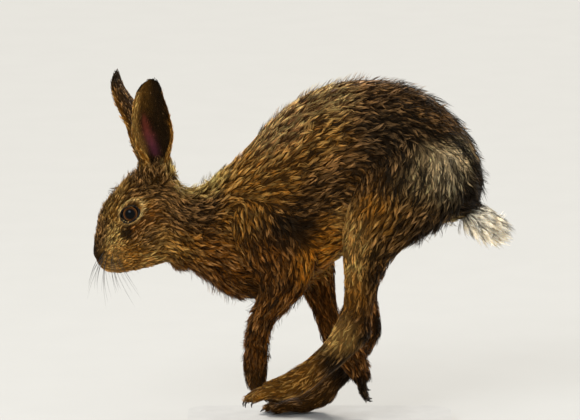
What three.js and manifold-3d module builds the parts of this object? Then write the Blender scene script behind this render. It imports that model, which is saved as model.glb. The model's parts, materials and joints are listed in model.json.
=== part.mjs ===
// A running brown hare, life size, on a plain base plate.
// Millimetres, +Z up. The hare faces -X and its left side faces -Y.
// The origin is the middle of the underside of the base.
import * as THREE from 'three';
import { LoftGeometry } from 'three/addons/geometries/LoftGeometry.js';
import { mergeVertices } from 'three/addons/utils/BufferGeometryUtils.js';
import Module from 'manifold-3d';

const wasm = await Module();
wasm.setup();

// Driving sizes
const gap = 0.3;
const base = { length: 280, width: 156, height: 12, corner: 24 };
const soleLevel = base.height + gap;

const eye = { radius: 11.5, x: -197.5, side: 19.5, z: 237.5 };
const eyeFacing = new THREE.Vector3(-0.22, 0.96, 0.1).normalize();
const lid = { wide: 58, high: 43, slant: 0.3, radius: 1.4, lift: 0.8 };

const ear = { halfWidth: 21.5, flatness: 0.62, wall: 2.4, tipWall: 1.4 };
const ears = [
  {
    name: 'ear_left', root: [-172.5, -15, 280], tip: [-176.5, -27, 380],
    facing: [0.35, -0.93, 0], bow: 2.8,
  },
  {
    name: 'ear_right', root: [-174, 15, 278], tip: [-214, 23, 381.5],
    facing: [-0.94, 0.34, 0], bow: 6,
  },
];

// Ear outline from root to tip: place along the ear, share of the half width, half angle of the curl.
const earOutline = [
  [0.00, 0.92, 178],
  [0.09, 0.84, 172],
  [0.17, 0.76, 150],
  [0.25, 0.83, 126],
  [0.34, 0.95, 108],
  [0.43, 1.00, 94],
  [0.55, 0.96, 82],
  [0.67, 0.88, 70],
  [0.79, 0.75, 60],
  [0.90, 0.61, 52],
  [0.96, 0.45, 47],
  [0.99, 0.27, 45],
  [1.00, 0.12, 44],
];

// Cross-sections. Each row has the x and z of the section's first outline point, the x and z of the
// second one, the y of its middle, its half width, how far the fullest place leans to the first
// point, and how square the curve is (2 is an ellipse).
const trunkSections = [
  [-237.8, 190.5, -234.4, 183.0, 0, 4.5, 0.00, 2.0], // nose
  [-238.0, 197.5, -230.5, 176.0, 0, 10.0, -0.10, 2.1], // nostrils
  [-236.5, 209.0, -221.5, 172.5, 0, 14.0, -0.22, 2.2], // whisker pads
  [-233.5, 221.0, -210.0, 172.5, 0, 17.0, -0.20, 2.2], // muzzle
  [-229.5, 235.0, -198.5, 173.5, 0, 20.0, -0.08, 2.2], // tear line
  [-222.0, 248.5, -187.0, 175.5, 0, 23.5, 0.02, 2.2], // eyes
  [-210.0, 262.0, -176.5, 178.5, 0, 26.0, 0.00, 2.2], // brow
  [-196.0, 275.0, -167.0, 181.5, 0, 27.0, -0.02, 2.2], // forehead
  [-178.5, 284.5, -159.5, 182.5, 0, 27.0, 0.00, 2.15], // crown
  [-161.5, 279.5, -150.0, 177.5, 0, 27.5, -0.05, 2.1], // nape
  [-144.0, 262.5, -135.5, 173.0, 0, 30.0, -0.10, 2.1], // neck
  [-122.0, 264.5, -117.5, 163.0, 0, 34.5, -0.12, 2.1], // foot of the neck
  [-98.5, 284.0, -93.5, 147.5, 0, 41.0, -0.15, 2.15], // withers
  [-74.5, 308.5, -66.0, 143.0, 0, 46.0, -0.18, 2.2], // shoulders
  [-48.5, 337.0, -35.5, 145.5, 0, 49.5, -0.15, 2.2], // chest
  [-18.0, 360.0, -6.5, 164.5, 0, 52.0, -0.10, 2.2], // ribs
  [14.5, 373.0, 22.0, 188.0, 0, 52.5, -0.05, 2.2], // loin
  [49.5, 376.5, 50.5, 203.0, 0, 51.0, 0.00, 2.2], // belly
  [84.0, 372.5, 75.5, 210.5, 0, 48.0, 0.00, 2.2], // flank
  [115.5, 359.0, 97.5, 216.5, 0, 44.0, 0.00, 2.2], // croup
  [142.0, 334.5, 117.5, 221.0, 0, 38.0, 0.00, 2.1], // hips
  [160.0, 307.5, 135.5, 225.0, 0, 31.5, 0.00, 2.1], // rump
  [167.5, 279.0, 149.0, 231.5, 0, 21.5, 0.00, 2.0], // dock
  [165.0, 256.0, 158.5, 242.5, 0, 8.0, 0.00, 2.0], // seat
];

// Places between the rows of trunkSections where the trunk is parted.
const trunkCuts = { nape: 9, withers: 12, ribs: 15.2, flank: 18.2 };

const limbSections = {
  foreLeft: [
    [-84.0, 263.5, -38.0, 278.5, -24.0, 10.0, 0.00, 2.1], // shoulder blade
    [-96.5, 226.5, -21.0, 241.5, -34.0, 19.0, 0.00, 2.1], // shoulder
    [-84.0, 192.5, -4.0, 203.5, -35.5, 19.5, 0.00, 2.1], // upper arm
    [-67.0, 166.5, -11.5, 164.5, -32.0, 17.5, -0.10, 2.1], // elbow
    [-69.5, 143.0, -29.5, 143.0, -28.5, 14.0, -0.05, 2.1], // below the elbow
    [-76.0, 124.5, -44.5, 125.5, -26.0, 12.0, 0.00, 2.1], // upper forearm
    [-80.0, 105.5, -51.5, 107.0, -23.5, 11.0, 0.00, 2.1], // middle of the forearm
    [-81.5, 86.0, -53.0, 87.0, -21.0, 10.5, 0.00, 2.1], // lower forearm
    [-81.5, 67.5, -54.0, 68.5, -19.0, 10.5, 0.00, 2.1], // wrist
    [-77.5, 52.5, -55.0, 59.0, -17.5, 11.0, 0.00, 2.1], // paw
    [-68.0, 39.5, -48.5, 51.0, -16.5, 11.5, 0.00, 2.1], // knuckles
  ],
  foreRight: [
    [-73.5, 259.5, -27.5, 274.5, 24.0, 10.0, 0.00, 2.1], // shoulder blade
    [-84.0, 220.0, -10.5, 234.5, 34.0, 19.0, 0.00, 2.1], // shoulder
    [-67.0, 187.5, 10.5, 202.5, 35.5, 19.5, 0.00, 2.1], // upper arm
    [-31.5, 166.5, 16.0, 176.0, 32.0, 17.5, -0.10, 2.1], // elbow
    [-20.0, 145.5, 17.0, 154.0, 30.0, 14.0, -0.05, 2.1], // below the elbow
    [-10.5, 126.5, 19.5, 134.0, 28.0, 12.0, 0.00, 2.1], // upper forearm
    [-3.5, 108.0, 24.0, 115.5, 25.0, 11.0, 0.00, 2.1], // middle of the forearm
    [3.0, 89.5, 31.5, 100.0, 21.0, 10.5, 0.00, 2.1], // lower forearm
    [14.5, 74.5, 46.0, 86.5, 17.5, 10.5, 0.00, 2.1], // wrist
    [26.0, 62.5, 52.5, 72.0, 16.0, 11.0, 0.00, 2.1], // paw
    [34.5, 50.0, 55.5, 57.0, 15.0, 11.5, 0.00, 2.1], // knuckles
  ],
  hindLeft: [
    [59.0, 333.5, 145.0, 296.5, -28.0, 18.0, 0.00, 2.1], // hip
    [35.5, 292.0, 149.0, 255.0, -35.0, 24.0, 0.00, 2.15], // upper thigh
    [27.5, 260.0, 129.0, 233.5, -41.0, 24.0, 0.10, 2.15], // thigh
    [23.5, 233.5, 100.0, 214.0, -46.0, 20.5, 0.25, 2.1], // knee
    [22.5, 209.5, 77.5, 196.5, -48.5, 17.0, 0.20, 2.1], // calf
    [23.0, 185.0, 66.0, 179.5, -50.0, 14.0, 0.10, 2.1], // middle of the shank
    [23.5, 159.5, 59.5, 157.5, -50.5, 12.5, 0.00, 2.1], // lower shank
    [20.0, 139.0, 55.5, 134.0, -50.0, 12.0, 0.00, 2.1], // above the hock
    [11.5, 119.5, 54.0, 115.5, -49.5, 12.5, 0.00, 2.1], // hock
    [0.5, 103.0, 43.0, 99.5, -48.5, 13.0, 0.00, 2.1], // heel
    [-20.0, 84.5, 11.5, 71.5, -47.0, 13.0, 0.00, 2.1], // middle of the foot
    [-43.0, 70.5, -14.5, 51.0, -45.5, 14.0, 0.00, 2.1], // fore foot
    [-58.0, 64.0, -38.0, 42.5, -45.0, 14.0, 0.00, 2.1], // ball
  ],
  hindRight: [
    [69.5, 323.5, 150.0, 286.5, 28.0, 18.0, 0.00, 2.1], // hip
    [46.0, 282.0, 153.5, 242.5, 35.0, 24.0, 0.00, 2.15], // upper thigh
    [38.0, 250.0, 132.5, 221.5, 40.0, 24.0, 0.10, 2.15], // thigh
    [32.5, 221.5, 103.0, 200.5, 44.0, 20.5, 0.25, 2.1], // knee
    [30.5, 194.5, 83.0, 183.0, 46.0, 17.0, 0.20, 2.1], // calf
    [30.5, 170.0, 71.5, 166.0, 47.0, 14.0, 0.10, 2.1], // middle of the shank
    [30.5, 146.5, 63.5, 143.5, 47.0, 12.5, 0.00, 2.1], // lower shank
    [30.5, 128.5, 64.0, 123.0, 46.5, 12.0, 0.00, 2.1], // above the hock
    [30.0, 110.5, 67.5, 101.0, 46.0, 12.5, 0.00, 2.1], // hock
    [27.5, 92.5, 60.0, 84.0, 45.0, 13.0, 0.00, 2.1], // heel
    [20.0, 69.5, 42.0, 55.5, 43.5, 13.0, 0.00, 2.1], // middle of the foot
    [5.0, 52.5, 24.0, 37.5, 42.0, 14.0, 0.00, 2.1], // fore foot
    [-10.5, 40.0, 14.0, 22.5, 41.0, 14.5, 0.00, 2.1], // ball
    [-25.0, 32.0, -8.0, 13.0, 40.5, 15.0, 0.00, 2.3], // toe pads
  ],
};

const tailSections = [
  [149.0, 270.0, 132.5, 236.0, 0, 12.0, 0, 2], // root
  [161.5, 259.0, 143.0, 225.0, 0, 15.0, 0, 2], // dock
  [174.5, 246.5, 156.5, 215.5, 0, 15.5, 0, 2], // middle
  [186.0, 235.0, 171.0, 207.5, 0, 13.0, 0, 2], // end of the tail bone
  [194.0, 223.0, 184.0, 204.5, 0, 9.0, 0, 2], // brush
  [198.5, 210.5, 195.5, 205.0, 0, 3.0, 0, 2], // tip
];

// Swellings and hollows of the head, alike on both sides: x, y, z, height and reach.
const headForms = [
  [-200.0, 24.0, 240.0, 1.6, 13.0], // rim of the eye socket
  [-204.0, 20.0, 255.0, 2.2, 9.0], // brow ridge
  [-177.0, 27.0, 212.0, 3.5, 17.0], // cheek
  [-219.0, 15.0, 190.0, 3.2, 10.5], // whisker pad
  [-195.0, 24.0, 220.0, 1.8, 9.0], // cheek bone
  [-217.0, 17.0, 216.0, -1.8, 9.0], // groove before the eye
  [-205.0, 22.0, 194.0, -1.4, 8.0], // hollow behind the whisker pad
  [-211.0, 5.0, 171.5, 1.5, 9.0], // chin
];

// Feet: the middle of the toes' roots, the way they point, the side that their backs face, each toe's
// share of the length, and sizes. The droop says how far the claws hang down.
const feet = [
  {
    name: 'foreLeft', hand: 'fore_left',
    root: [-60, -16.5, 46.5], forward: [0.86, 0, -0.5], back: [-0.5, 0, -0.86],
    toes: [0.55, 0.92, 1, 0.95, 0.78], length: 20, spacing: 4.7, splay: 1.15,
    radius: 5.4, tipRadius: 3.6, claw: 5.5, droop: 1,
  },
  {
    name: 'foreRight', hand: 'fore_right',
    root: [44.5, 15, 55], forward: [0.17, 0, -0.985], back: [-0.985, 0, -0.17],
    toes: [0.78, 0.95, 1, 0.92, 0.55], length: 22, spacing: 4.7, splay: 1.15,
    radius: 5.6, tipRadius: 3.8, claw: 5.5, droop: 1,
  },
  {
    name: 'hindLeft', hand: 'hind_left',
    root: [-45, -45, 54], forward: [-0.968, 0, -0.25], back: [-0.25, 0, 0.968],
    toes: [0.72, 0.93, 1, 0.82], length: 33, spacing: 6.6, splay: 1.2,
    radius: 7.2, tipRadius: 4.6, claw: 7, droop: 1,
  },
  {
    name: 'hindRight', hand: 'hind_right',
    root: [-16, 41, 20.5], forward: [-0.9995, 0, -0.03], back: [-0.03, 0, 0.9995],
    toes: [0.8, 1, 0.93, 0.72], length: 40, spacing: 7, splay: 1.25,
    radius: 7.8, tipRadius: 5.2, claw: 7, droop: 0.55,
  },
];
const clawRadii = [1.5, 1.3, 0.4];

// Slits of the face as lines seen from the side, x and z, with their widths and depths.
const mouth = {
  line: [[-240, 183], [-231, 178.5], [-219, 175.5], [-209, 175], [-203, 176.5]],
  width: 1.2, depth: 1.6,
};
const nostril = {
  line: [[-228, 195.5], [-230.5, 192], [-231.5, 187.5], [-234, 184]],
  width: 2.4, depth: 3, inner: 2.5,
};
const lipSplit = { outline: [[-245, 188], [-226, 186], [-224, 177], [-243, 176]], width: 1 };

// How finely each part is drawn: sides of a ring, and rows of sections from ring to ring.
const detail = {
  headSides: 26, headStep: 0.46, trunkSides: 24, hindSides: 14, foreSides: 12, tailSides: 12,
  bodyStep: 0.5, earRings: 14, earSides: 8, earRootSides: 12, lidTurns: 20, slitSteps: 8,
};
// Edges shorter than this are merged away.
const finest = 0.15;

// Colours of the coat and the bare parts, for a plain view of the model.
const finishes = {
  back: { color: 0x5c4330, roughness: 0.9 },
  flank: { color: 0x8a5f36, roughness: 0.9 },
  rump: { color: 0x77705f, roughness: 0.9 },
  leg: { color: 0x805a33, roughness: 0.9 },
  ear: { color: 0x6b5236, roughness: 0.85 },
  tail: { color: 0xcfc6b8, roughness: 0.95 },
  eye: { color: 0x21130b, roughness: 0.08 },
  claw: { color: 0x2a211b, roughness: 0.4 },
  plate: { color: 0xd9d4ca, roughness: 0.7 },
};

const model = new THREE.Group();

// Solids: a closed geometry becomes a solid that can be joined and cut.
function solidOf(geometry) {
  const bare = new THREE.BufferGeometry().copy(geometry);
  bare.deleteAttribute('normal');
  bare.deleteAttribute('uv');
  const merged = mergeVertices(bare, 1e-4);
  const corners = merged.index.array;
  const points = merged.attributes.position.array;
  const faces = [];
  for (let i = 0; i < corners.length; i += 3) {
    const [a, b, c] = corners.slice(i, i + 3);
    if (a !== b && b !== c && c !== a) faces.push(a, b, c);
  }
  if (signedVolume(points, faces) < 0) faces.reverse();
  return new wasm.Manifold(new wasm.Mesh({
    numProp: 3, vertProperties: new Float32Array(points), triVerts: new Uint32Array(faces),
  }));
}

function signedVolume(points, faces) {
  const corner = (index) => new THREE.Vector3().fromArray(points, 3 * index);
  let volume = 0;
  for (let i = 0; i < faces.length; i += 3) {
    volume += corner(faces[i]).dot(corner(faces[i + 1]).cross(corner(faces[i + 2]))) / 6;
  }
  return volume;
}

function largest(solid) {
  return solid.decompose().sort((one, other) => other.volume() - one.volume())[0];
}

function addPart(name, solid, finish) {
  const mesh = largest(solid.simplify(finest)).getMesh();
  const geometry = new THREE.BufferGeometry();
  geometry.setAttribute('position', new THREE.BufferAttribute(new Float32Array(mesh.vertProperties), 3));
  geometry.setIndex(new THREE.BufferAttribute(new Uint32Array(mesh.triVerts), 1));
  addMesh(name, geometry, finish);
}

function addMesh(name, geometry, finish) {
  geometry.computeVertexNormals();
  const part = new THREE.Mesh(geometry, new THREE.MeshStandardMaterial(finishes[finish]));
  part.name = name;
  model.add(part);
  return part;
}

// Rows of numbers blended by a smooth curve through them, with a row at each whole place.
function blendRows(rows, place) {
  const last = rows.length - 1;
  const index = Math.min(Math.floor(place), last - 1);
  const t = place - index;
  const row = (step) => rows[Math.max(0, Math.min(last, index + step))];
  const [before, start, end, after] = [row(-1), row(0), row(1), row(2)];
  return start.map((value, k) => {
    const slope = (end[k] - before[k]) / 2;
    const nextSlope = (after[k] - value) / 2;
    const rise = end[k] - value;
    const bend = 3 * rise - 2 * slope - nextSlope;
    const twist = slope + nextSlope - 2 * rise;
    return value + t * (slope + t * (bend + t * twist));
  });
}

function headSwell(point) {
  return headForms.reduce((sum, [x, y, z, height, reach]) => {
    const distance = Math.hypot(point.x - x, Math.abs(point.y) - y, point.z - z);
    return sum + height * Math.exp(-((distance / reach) ** 2));
  }, 0);
}

// One ring of a body: a rounded closed curve between two outline points, swollen where the head is.
function ring(rows, place, sides, grow, swell = () => 0) {
  const [x1, z1, x2, z2, y, half, lean, power] = blendRows(rows, place);
  const centre = new THREE.Vector3((x1 + x2) / 2, y, (z1 + z2) / 2);
  const long = new THREE.Vector3((x1 - x2) / 2, 0, (z1 - z2) / 2);
  long.setLength(long.length() + grow);
  const bow = (value) => Math.sign(value) * Math.abs(value) ** (2 / power);
  return Array.from({ length: sides }, (_, k) => {
    const angle = (2 * Math.PI * (k + 0.5)) / sides;
    const across = bow(Math.sin(angle)) * (half + grow) * (1 + lean * Math.cos(angle));
    const offset = long.clone().multiplyScalar(bow(Math.cos(angle)));
    offset.y += across;
    const point = centre.clone().add(offset);
    return point.addScaledVector(offset.normalize(), swell(point));
  });
}

function middle(points) {
  return points.reduce((sum, point) => sum.add(point), new THREE.Vector3()).divideScalar(points.length);
}

// Rounded ends: smaller rings set further and further out past the first and the last ring.
function domed(rings, startBulge, endBulge, shares = [0.5, 0.85, 1]) {
  const cap = (end, inner, bulge) => {
    const centre = middle(end);
    const outward = centre.clone().sub(middle(inner)).normalize();
    return shares.map((share) => end.map((point) => point.clone().sub(centre)
      .multiplyScalar(Math.sqrt(1 - share ** 2)).add(centre).addScaledVector(outward, share * bulge)));
  };
  const start = cap(rings[0], rings[1], startBulge).reverse();
  const end = cap(rings[rings.length - 1], rings[rings.length - 2], endBulge);
  return [...start, ...rings, ...end];
}

function loft(rings) {
  return solidOf(new LoftGeometry(rings));
}

// A rounded body through the rows, grown on all sides by an amount, with rounded ends.
function body(rows, sides, grow, options = {}) {
  const { from = 0, to = rows.length - 1, step = detail.bodyStep, bulge = [4, 4], swell } = options;
  const count = Math.round((to - from) / step);
  const rings = Array.from({ length: count + 1 }, (_, k) => {
    const place = from + (k * (to - from)) / count;
    return ring(rows, place, sides, grow, swell);
  });
  return loft(domed(rings, bulge[0] + grow, bulge[1] + grow));
}

// The plane of one cross-section, facing the later sections.
function planeAt(rows, place) {
  const [x1, z1, x2, z2] = blendRows(rows, place);
  const [x3, z3, x4, z4] = blendRows(rows, place + 0.1);
  const normal = new THREE.Vector3(z1 - z2, 0, x2 - x1).normalize();
  if (normal.x * (x3 + x4 - x1 - x2) + normal.z * (z3 + z4 - z1 - z2) < 0) normal.negate();
  return { normal: normal.toArray(), offset: (normal.x * (x1 + x2) + normal.z * (z1 + z2)) / 2 };
}

function partBetween(solid, rows, from, to) {
  let part = solid;
  if (from !== undefined) {
    const { normal, offset } = planeAt(rows, from);
    part = part.trimByPlane(normal, offset + gap / 2);
  }
  if (to !== undefined) {
    const { normal, offset } = planeAt(rows, to);
    part = part.trimByPlane(normal.map((value) => -value), gap / 2 - offset);
  }
  return part;
}

// A rod of round sections along a smooth path, with rounded ends.
function rod(points, radii, sides = 7, steps = 4) {
  const path = new THREE.CatmullRomCurve3(points);
  const radiusRows = radii.map((radius) => [radius]);
  const side = new THREE.Vector3(0, 1, 0);
  const rings = Array.from({ length: steps + 1 }, (_, k) => {
    const centre = path.getPoint(k / steps);
    const tangent = path.getTangent(k / steps);
    const up = new THREE.Vector3().crossVectors(tangent, side).normalize();
    const across = new THREE.Vector3().crossVectors(up, tangent).normalize();
    const [radius] = blendRows(radiusRows, (k / steps) * (radii.length - 1));
    return Array.from({ length: sides }, (__, n) => {
      const angle = (2 * Math.PI * n) / sides;
      return centre.clone()
        .addScaledVector(up, radius * Math.cos(angle))
        .addScaledVector(across, radius * Math.sin(angle));
    });
  });
  return loft(domed(rings, radii[0] * 0.8, radii[radii.length - 1] * 0.8, [0.65, 1]));
}

// A slab across the whole head whose outline is seen from the side, for cutting slits.
function slab(outline, fromY, toY) {
  const shape = new THREE.Shape(outline.map(([x, z]) => new THREE.Vector2(x, z)));
  const geometry = new THREE.ExtrudeGeometry(shape, { depth: toY - fromY, bevelEnabled: false });
  geometry.rotateX(Math.PI / 2);
  geometry.translate(0, toY, 0);
  return solidOf(geometry);
}

// A slit of even width along a line seen from the side.
function slit({ line, width }, fromY, toY) {
  const path = new THREE.SplineCurve(line.map(([x, z]) => new THREE.Vector2(x, z)));
  const upper = [];
  const lower = [];
  for (let k = 0; k <= detail.slitSteps; k += 1) {
    const { x, y: z } = path.getPoint(k / detail.slitSteps);
    const tangent = path.getTangent(k / detail.slitSteps).multiplyScalar(width / 2);
    upper.push([x - tangent.y, z + tangent.x]);
    lower.unshift([x + tangent.y, z - tangent.x]);
  }
  return slab([...upper, ...lower], fromY, toY);
}

// Head
function headBody(grow) {
  const options = { from: 0, to: 10.5, step: detail.headStep, bulge: [0.8, 3], swell: headSwell };
  return body(trunkSections, detail.headSides, grow, options);
}

function eyeCentre(sign) {
  return new THREE.Vector3(eye.x, sign * eye.side, eye.z);
}

function eyeBall(sign, radius) {
  const { x, y, z } = eyeCentre(sign);
  return solidOf(new THREE.SphereGeometry(radius, 16, 10).translate(x, y, z));
}

// The rim of the lids: a closed tube round the opening, lying on the eyeball.
function lids(sign) {
  const facing = eyeFacing.clone();
  facing.y *= sign;
  const forward = new THREE.Vector3(-1, 0, 0).addScaledVector(facing, facing.x).normalize();
  const up = new THREE.Vector3().crossVectors(facing, forward).multiplyScalar(sign);
  const centre = eyeCentre(sign);
  const reach = eye.radius + lid.lift;
  const points = Array.from({ length: detail.lidTurns }, (_, k) => {
    const turn = (2 * Math.PI * k) / detail.lidTurns;
    const wide = THREE.MathUtils.degToRad(lid.wide) * Math.cos(turn);
    const tilt = THREE.MathUtils.degToRad(lid.high) * Math.sin(turn) - lid.slant * wide;
    return centre.clone()
      .addScaledVector(facing, Math.cos(wide) * Math.cos(tilt) * reach)
      .addScaledVector(forward, Math.sin(wide) * Math.cos(tilt) * reach)
      .addScaledVector(up, Math.sin(tilt) * reach);
  });
  const rim = new THREE.CatmullRomCurve3(points, true);
  return solidOf(new THREE.TubeGeometry(rim, detail.lidTurns + 2, lid.radius, 5, true));
}

function makeHead() {
  const far = 30;
  const mouthCut = slit(mouth, -far, far).subtract(headBody(-mouth.depth));
  const splitSlab = slab(lipSplit.outline, -lipSplit.width / 2, lipSplit.width / 2);
  const splitCut = splitSlab.subtract(headBody(-mouth.depth));
  let head = headBody(0).subtract(mouthCut).subtract(splitCut);
  for (const sign of [-1, 1]) {
    const [fromY, toY] = sign < 0 ? [-far, -nostril.inner] : [nostril.inner, far];
    head = head.subtract(slit(nostril, fromY, toY).subtract(headBody(-nostril.depth)));
    head = head.add(lids(sign)).subtract(eyeBall(sign, eye.radius + gap));
  }
  addPart('head', partBetween(head, trunkSections, undefined, trunkCuts.nape), 'flank');
  for (const [name, sign] of [['eye_left', -1], ['eye_right', 1]]) {
    const ball = plainPositions(new THREE.SphereGeometry(eye.radius, 16, 10));
    addMesh(name, mergeVertices(ball, 1e-4), 'eye').position.copy(eyeCentre(sign));
  }
}

function plainPositions(geometry) {
  geometry.deleteAttribute('normal');
  geometry.deleteAttribute('uv');
  return geometry;
}

// Ears: each a curled leaf, a closed tube at its root that opens into a cup, on a solid root.
function earFrame({ root, tip, facing, bow }) {
  const start = new THREE.Vector3(...root);
  const along = new THREE.Vector3(...tip).sub(start);
  const length = along.length();
  along.normalize();
  const open = new THREE.Vector3(...facing);
  open.addScaledVector(along, -open.dot(along)).normalize();
  const wide = new THREE.Vector3().crossVectors(along, open);
  return { start, along, length, open, wide, bow };
}

function earRow(place) {
  const last = earOutline.length - 1;
  let index = 0;
  while (index < last - 1 && earOutline[index + 1][0] < place) index += 1;
  const span = earOutline[index + 1][0] - earOutline[index][0];
  return blendRows(earOutline, index + Math.max(0, place - earOutline[index][0]) / span);
}

function earRing(frame, place, thickness = 1) {
  const [, share, halfAngle] = earRow(place);
  const curl = THREE.MathUtils.degToRad(halfAngle);
  const radius = (share * ear.halfWidth) / Math.sin(Math.min(curl, Math.PI / 2));
  const wall = thickness * THREE.MathUtils.lerp(ear.wall, ear.tipWall, place);
  const level = ear.flatness * radius * Math.max(Math.cos(curl), 0);
  const centre = frame.start.clone().addScaledVector(frame.along, frame.length * place);
  centre.x -= frame.bow * Math.sin(Math.PI * Math.max(place, 0) ** 3);
  const at = (turn, reach) => centre.clone()
    .addScaledVector(frame.wide, reach * Math.sin(turn * curl))
    .addScaledVector(frame.open, level - ear.flatness * reach * Math.cos(turn * curl));
  const turns = Array.from({ length: detail.earSides + 1 }, (_, k) => -1 + (2 * k) / detail.earSides);
  return [
    ...turns.map((turn) => at(turn, radius + wall / 2)),
    ...turns.reverse().map((turn) => at(turn, radius - wall / 2)),
  ];
}

function earRoot(frame) {
  const rings = [[-0.16, 1.14], [-0.08, 1.1], [0, 1.04], [0.04, 0.97]].map(([place, flare]) => {
    const [, share] = earRow(Math.max(place, 0));
    const radius = flare * share * ear.halfWidth + ear.wall / 2 - 0.2;
    const centre = frame.start.clone().addScaledVector(frame.along, frame.length * place);
    centre.y *= 1 + 2 * Math.min(place, 0);
    return Array.from({ length: detail.earRootSides }, (_, k) => {
      const angle = (2 * Math.PI * k) / detail.earRootSides;
      return centre.clone()
        .addScaledVector(frame.wide, radius * Math.sin(angle))
        .addScaledVector(frame.open, ear.flatness * radius * Math.cos(angle));
    });
  });
  return loft(domed(rings, 3, 2.5));
}

// The rings of a leaf start a little below its root and crowd towards its tip.
function makeEars(cutHead) {
  const below = 0.04;
  const crowding = 0.4;
  const places = Array.from({ length: detail.earRings }, (_, k) => {
    const share = k / (detail.earRings - 1);
    return (1 + below) * share * (1 + crowding - crowding * share) - below;
  });
  for (const sizes of ears) {
    const frame = earFrame(sizes);
    const rings = places.map((place) => earRing(frame, place));
    const leaf = loft([earRing(frame, -0.05, 0), ...rings, earRing(frame, 1.01, 0)]);
    addPart(sizes.name, leaf.add(earRoot(frame)).subtract(cutHead), 'ear');
  }
}

// Trunk, with hollows where the limbs and the tail are set in
function trunkBody(grow) {
  return body(trunkSections, detail.trunkSides, grow, { from: 8, bulge: [3, 3], swell: headSwell });
}

function limbBody(name, grow) {
  const hind = name.startsWith('hind');
  const sides = hind ? detail.hindSides : detail.foreSides;
  return body(limbSections[name], sides, grow, { bulge: hind ? [6, 7] : [5, 6] });
}

function makeTrunk() {
  let trunk = trunkBody(0);
  for (const name of Object.keys(limbSections)) {
    trunk = trunk.subtract(limbBody(name, gap));
  }
  trunk = trunk.subtract(body(tailSections, detail.tailSides, gap));
  const { nape, withers, ribs, flank } = trunkCuts;
  addPart('neck', partBetween(trunk, trunkSections, nape, withers), 'flank');
  addPart('chest', partBetween(trunk, trunkSections, withers, ribs), 'flank');
  addPart('loin', partBetween(trunk, trunkSections, ribs, flank), 'back');
  addPart('rump', partBetween(trunk, trunkSections, flank, undefined), 'rump');
  addPart('tail', body(tailSections, detail.tailSides, 0), 'tail');
}

// Toes and claws
function toePath(foot, index) {
  const lateral = (index - (foot.toes.length - 1) / 2) * foot.spacing;
  const forward = new THREE.Vector3(...foot.forward);
  const back = new THREE.Vector3(...foot.back);
  const length = foot.length * foot.toes[index];
  const at = (share, rise, spread) => new THREE.Vector3(...foot.root)
    .addScaledVector(forward, share * length)
    .addScaledVector(back, rise)
    .add(new THREE.Vector3(0, lateral * spread, 0));
  const arch = foot.radius * 0.18;
  return [at(0, 0, 0.8), at(0.5, arch, 1), at(1, -arch, foot.splay)];
}

function toe(foot, index, grow) {
  const radii = [foot.radius, foot.radius * 0.95, foot.tipRadius];
  return rod(toePath(foot, index), radii.map((radius) => radius + grow));
}

function claw(foot, index) {
  const tip = toePath(foot, index)[2];
  const forward = new THREE.Vector3(...foot.forward);
  const back = new THREE.Vector3(...foot.back);
  const at = (ahead, below) => tip.clone()
    .addScaledVector(forward, ahead * foot.claw)
    .addScaledVector(back, -below * foot.droop * foot.claw);
  const bent = [at(0, 0.1), at(0.7, 0.45), at(1.25 - 0.4 * foot.droop, 1.05)];
  return rod(bent, clawRadii, 5, 3);
}

const limbNames = {
  foreLeft: ['upper_arm_left', 'forearm_left', 'forepaw_left'],
  foreRight: ['upper_arm_right', 'forearm_right', 'forepaw_right'],
  hindLeft: ['thigh_left', 'shank_left', 'hind_foot_left'],
  hindRight: ['thigh_right', 'shank_right', 'hind_foot_right'],
};
// Places between the rows of limbSections where each limb is parted.
const [firstCut, secondCut] = [3, 8];

function makeLimbs() {
  for (const foot of feet) {
    const rows = limbSections[foot.name];
    const [upper, lower, end] = limbNames[foot.name];
    const limb = limbBody(foot.name, 0);
    addPart(upper, partBetween(limb, rows, undefined, firstCut), 'leg');
    addPart(lower, partBetween(limb, rows, firstCut, secondCut), 'leg');
    let paw = partBetween(limb, rows, secondCut, undefined);
    foot.toes.forEach((_, index) => {
      paw = paw.add(toe(foot, index, 0));
    });
    paw = paw.trimByPlane([0, 0, 1], soleLevel);
    addPart(end, paw, 'leg');
    foot.toes.forEach((_, index) => {
      let nail = claw(foot, index);
      for (const near of [index - 1, index, index + 1].filter((k) => foot.toes[k] !== undefined)) {
        nail = nail.subtract(toe(foot, near, gap));
      }
      addPart(`claw_${foot.hand}_${index + 1}`, nail.trimByPlane([0, 0, 1], soleLevel), 'claw');
    });
  }
}

// Base plate
function makeBase() {
  const halfLength = base.length / 2;
  const halfWidth = base.width / 2;
  const outline = new THREE.Shape();
  outline.absarc(halfLength - base.corner, halfWidth - base.corner, base.corner, 0, Math.PI / 2);
  outline.absarc(base.corner - halfLength, halfWidth - base.corner, base.corner, Math.PI / 2, Math.PI);
  outline.absarc(base.corner - halfLength, base.corner - halfWidth, base.corner, Math.PI, 1.5 * Math.PI);
  outline.absarc(halfLength - base.corner, base.corner - halfWidth, base.corner, 1.5 * Math.PI, 2 * Math.PI);
  const solid = { depth: base.height, bevelEnabled: false, curveSegments: 6 };
  const plate = new THREE.ExtrudeGeometry(outline, solid);
  addPart('stand_base', solidOf(plate), 'plate');
}

makeHead();
makeEars(headBody(gap).add(trunkBody(gap)));
makeTrunk();
makeLimbs();
makeBase();

export default model;
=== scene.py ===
# %% [markdown]
# This lesson dresses a life-size model of a running brown hare. The solids under it are already cut to
# size, so the scene loads them as a fixed frame and everything new is placed in that same frame, in metres.
# The hare faces -X, its left side faces -Y and the base stands on the floor at Z = 0.

# %% Load the solids as a frame
import json
import math

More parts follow.
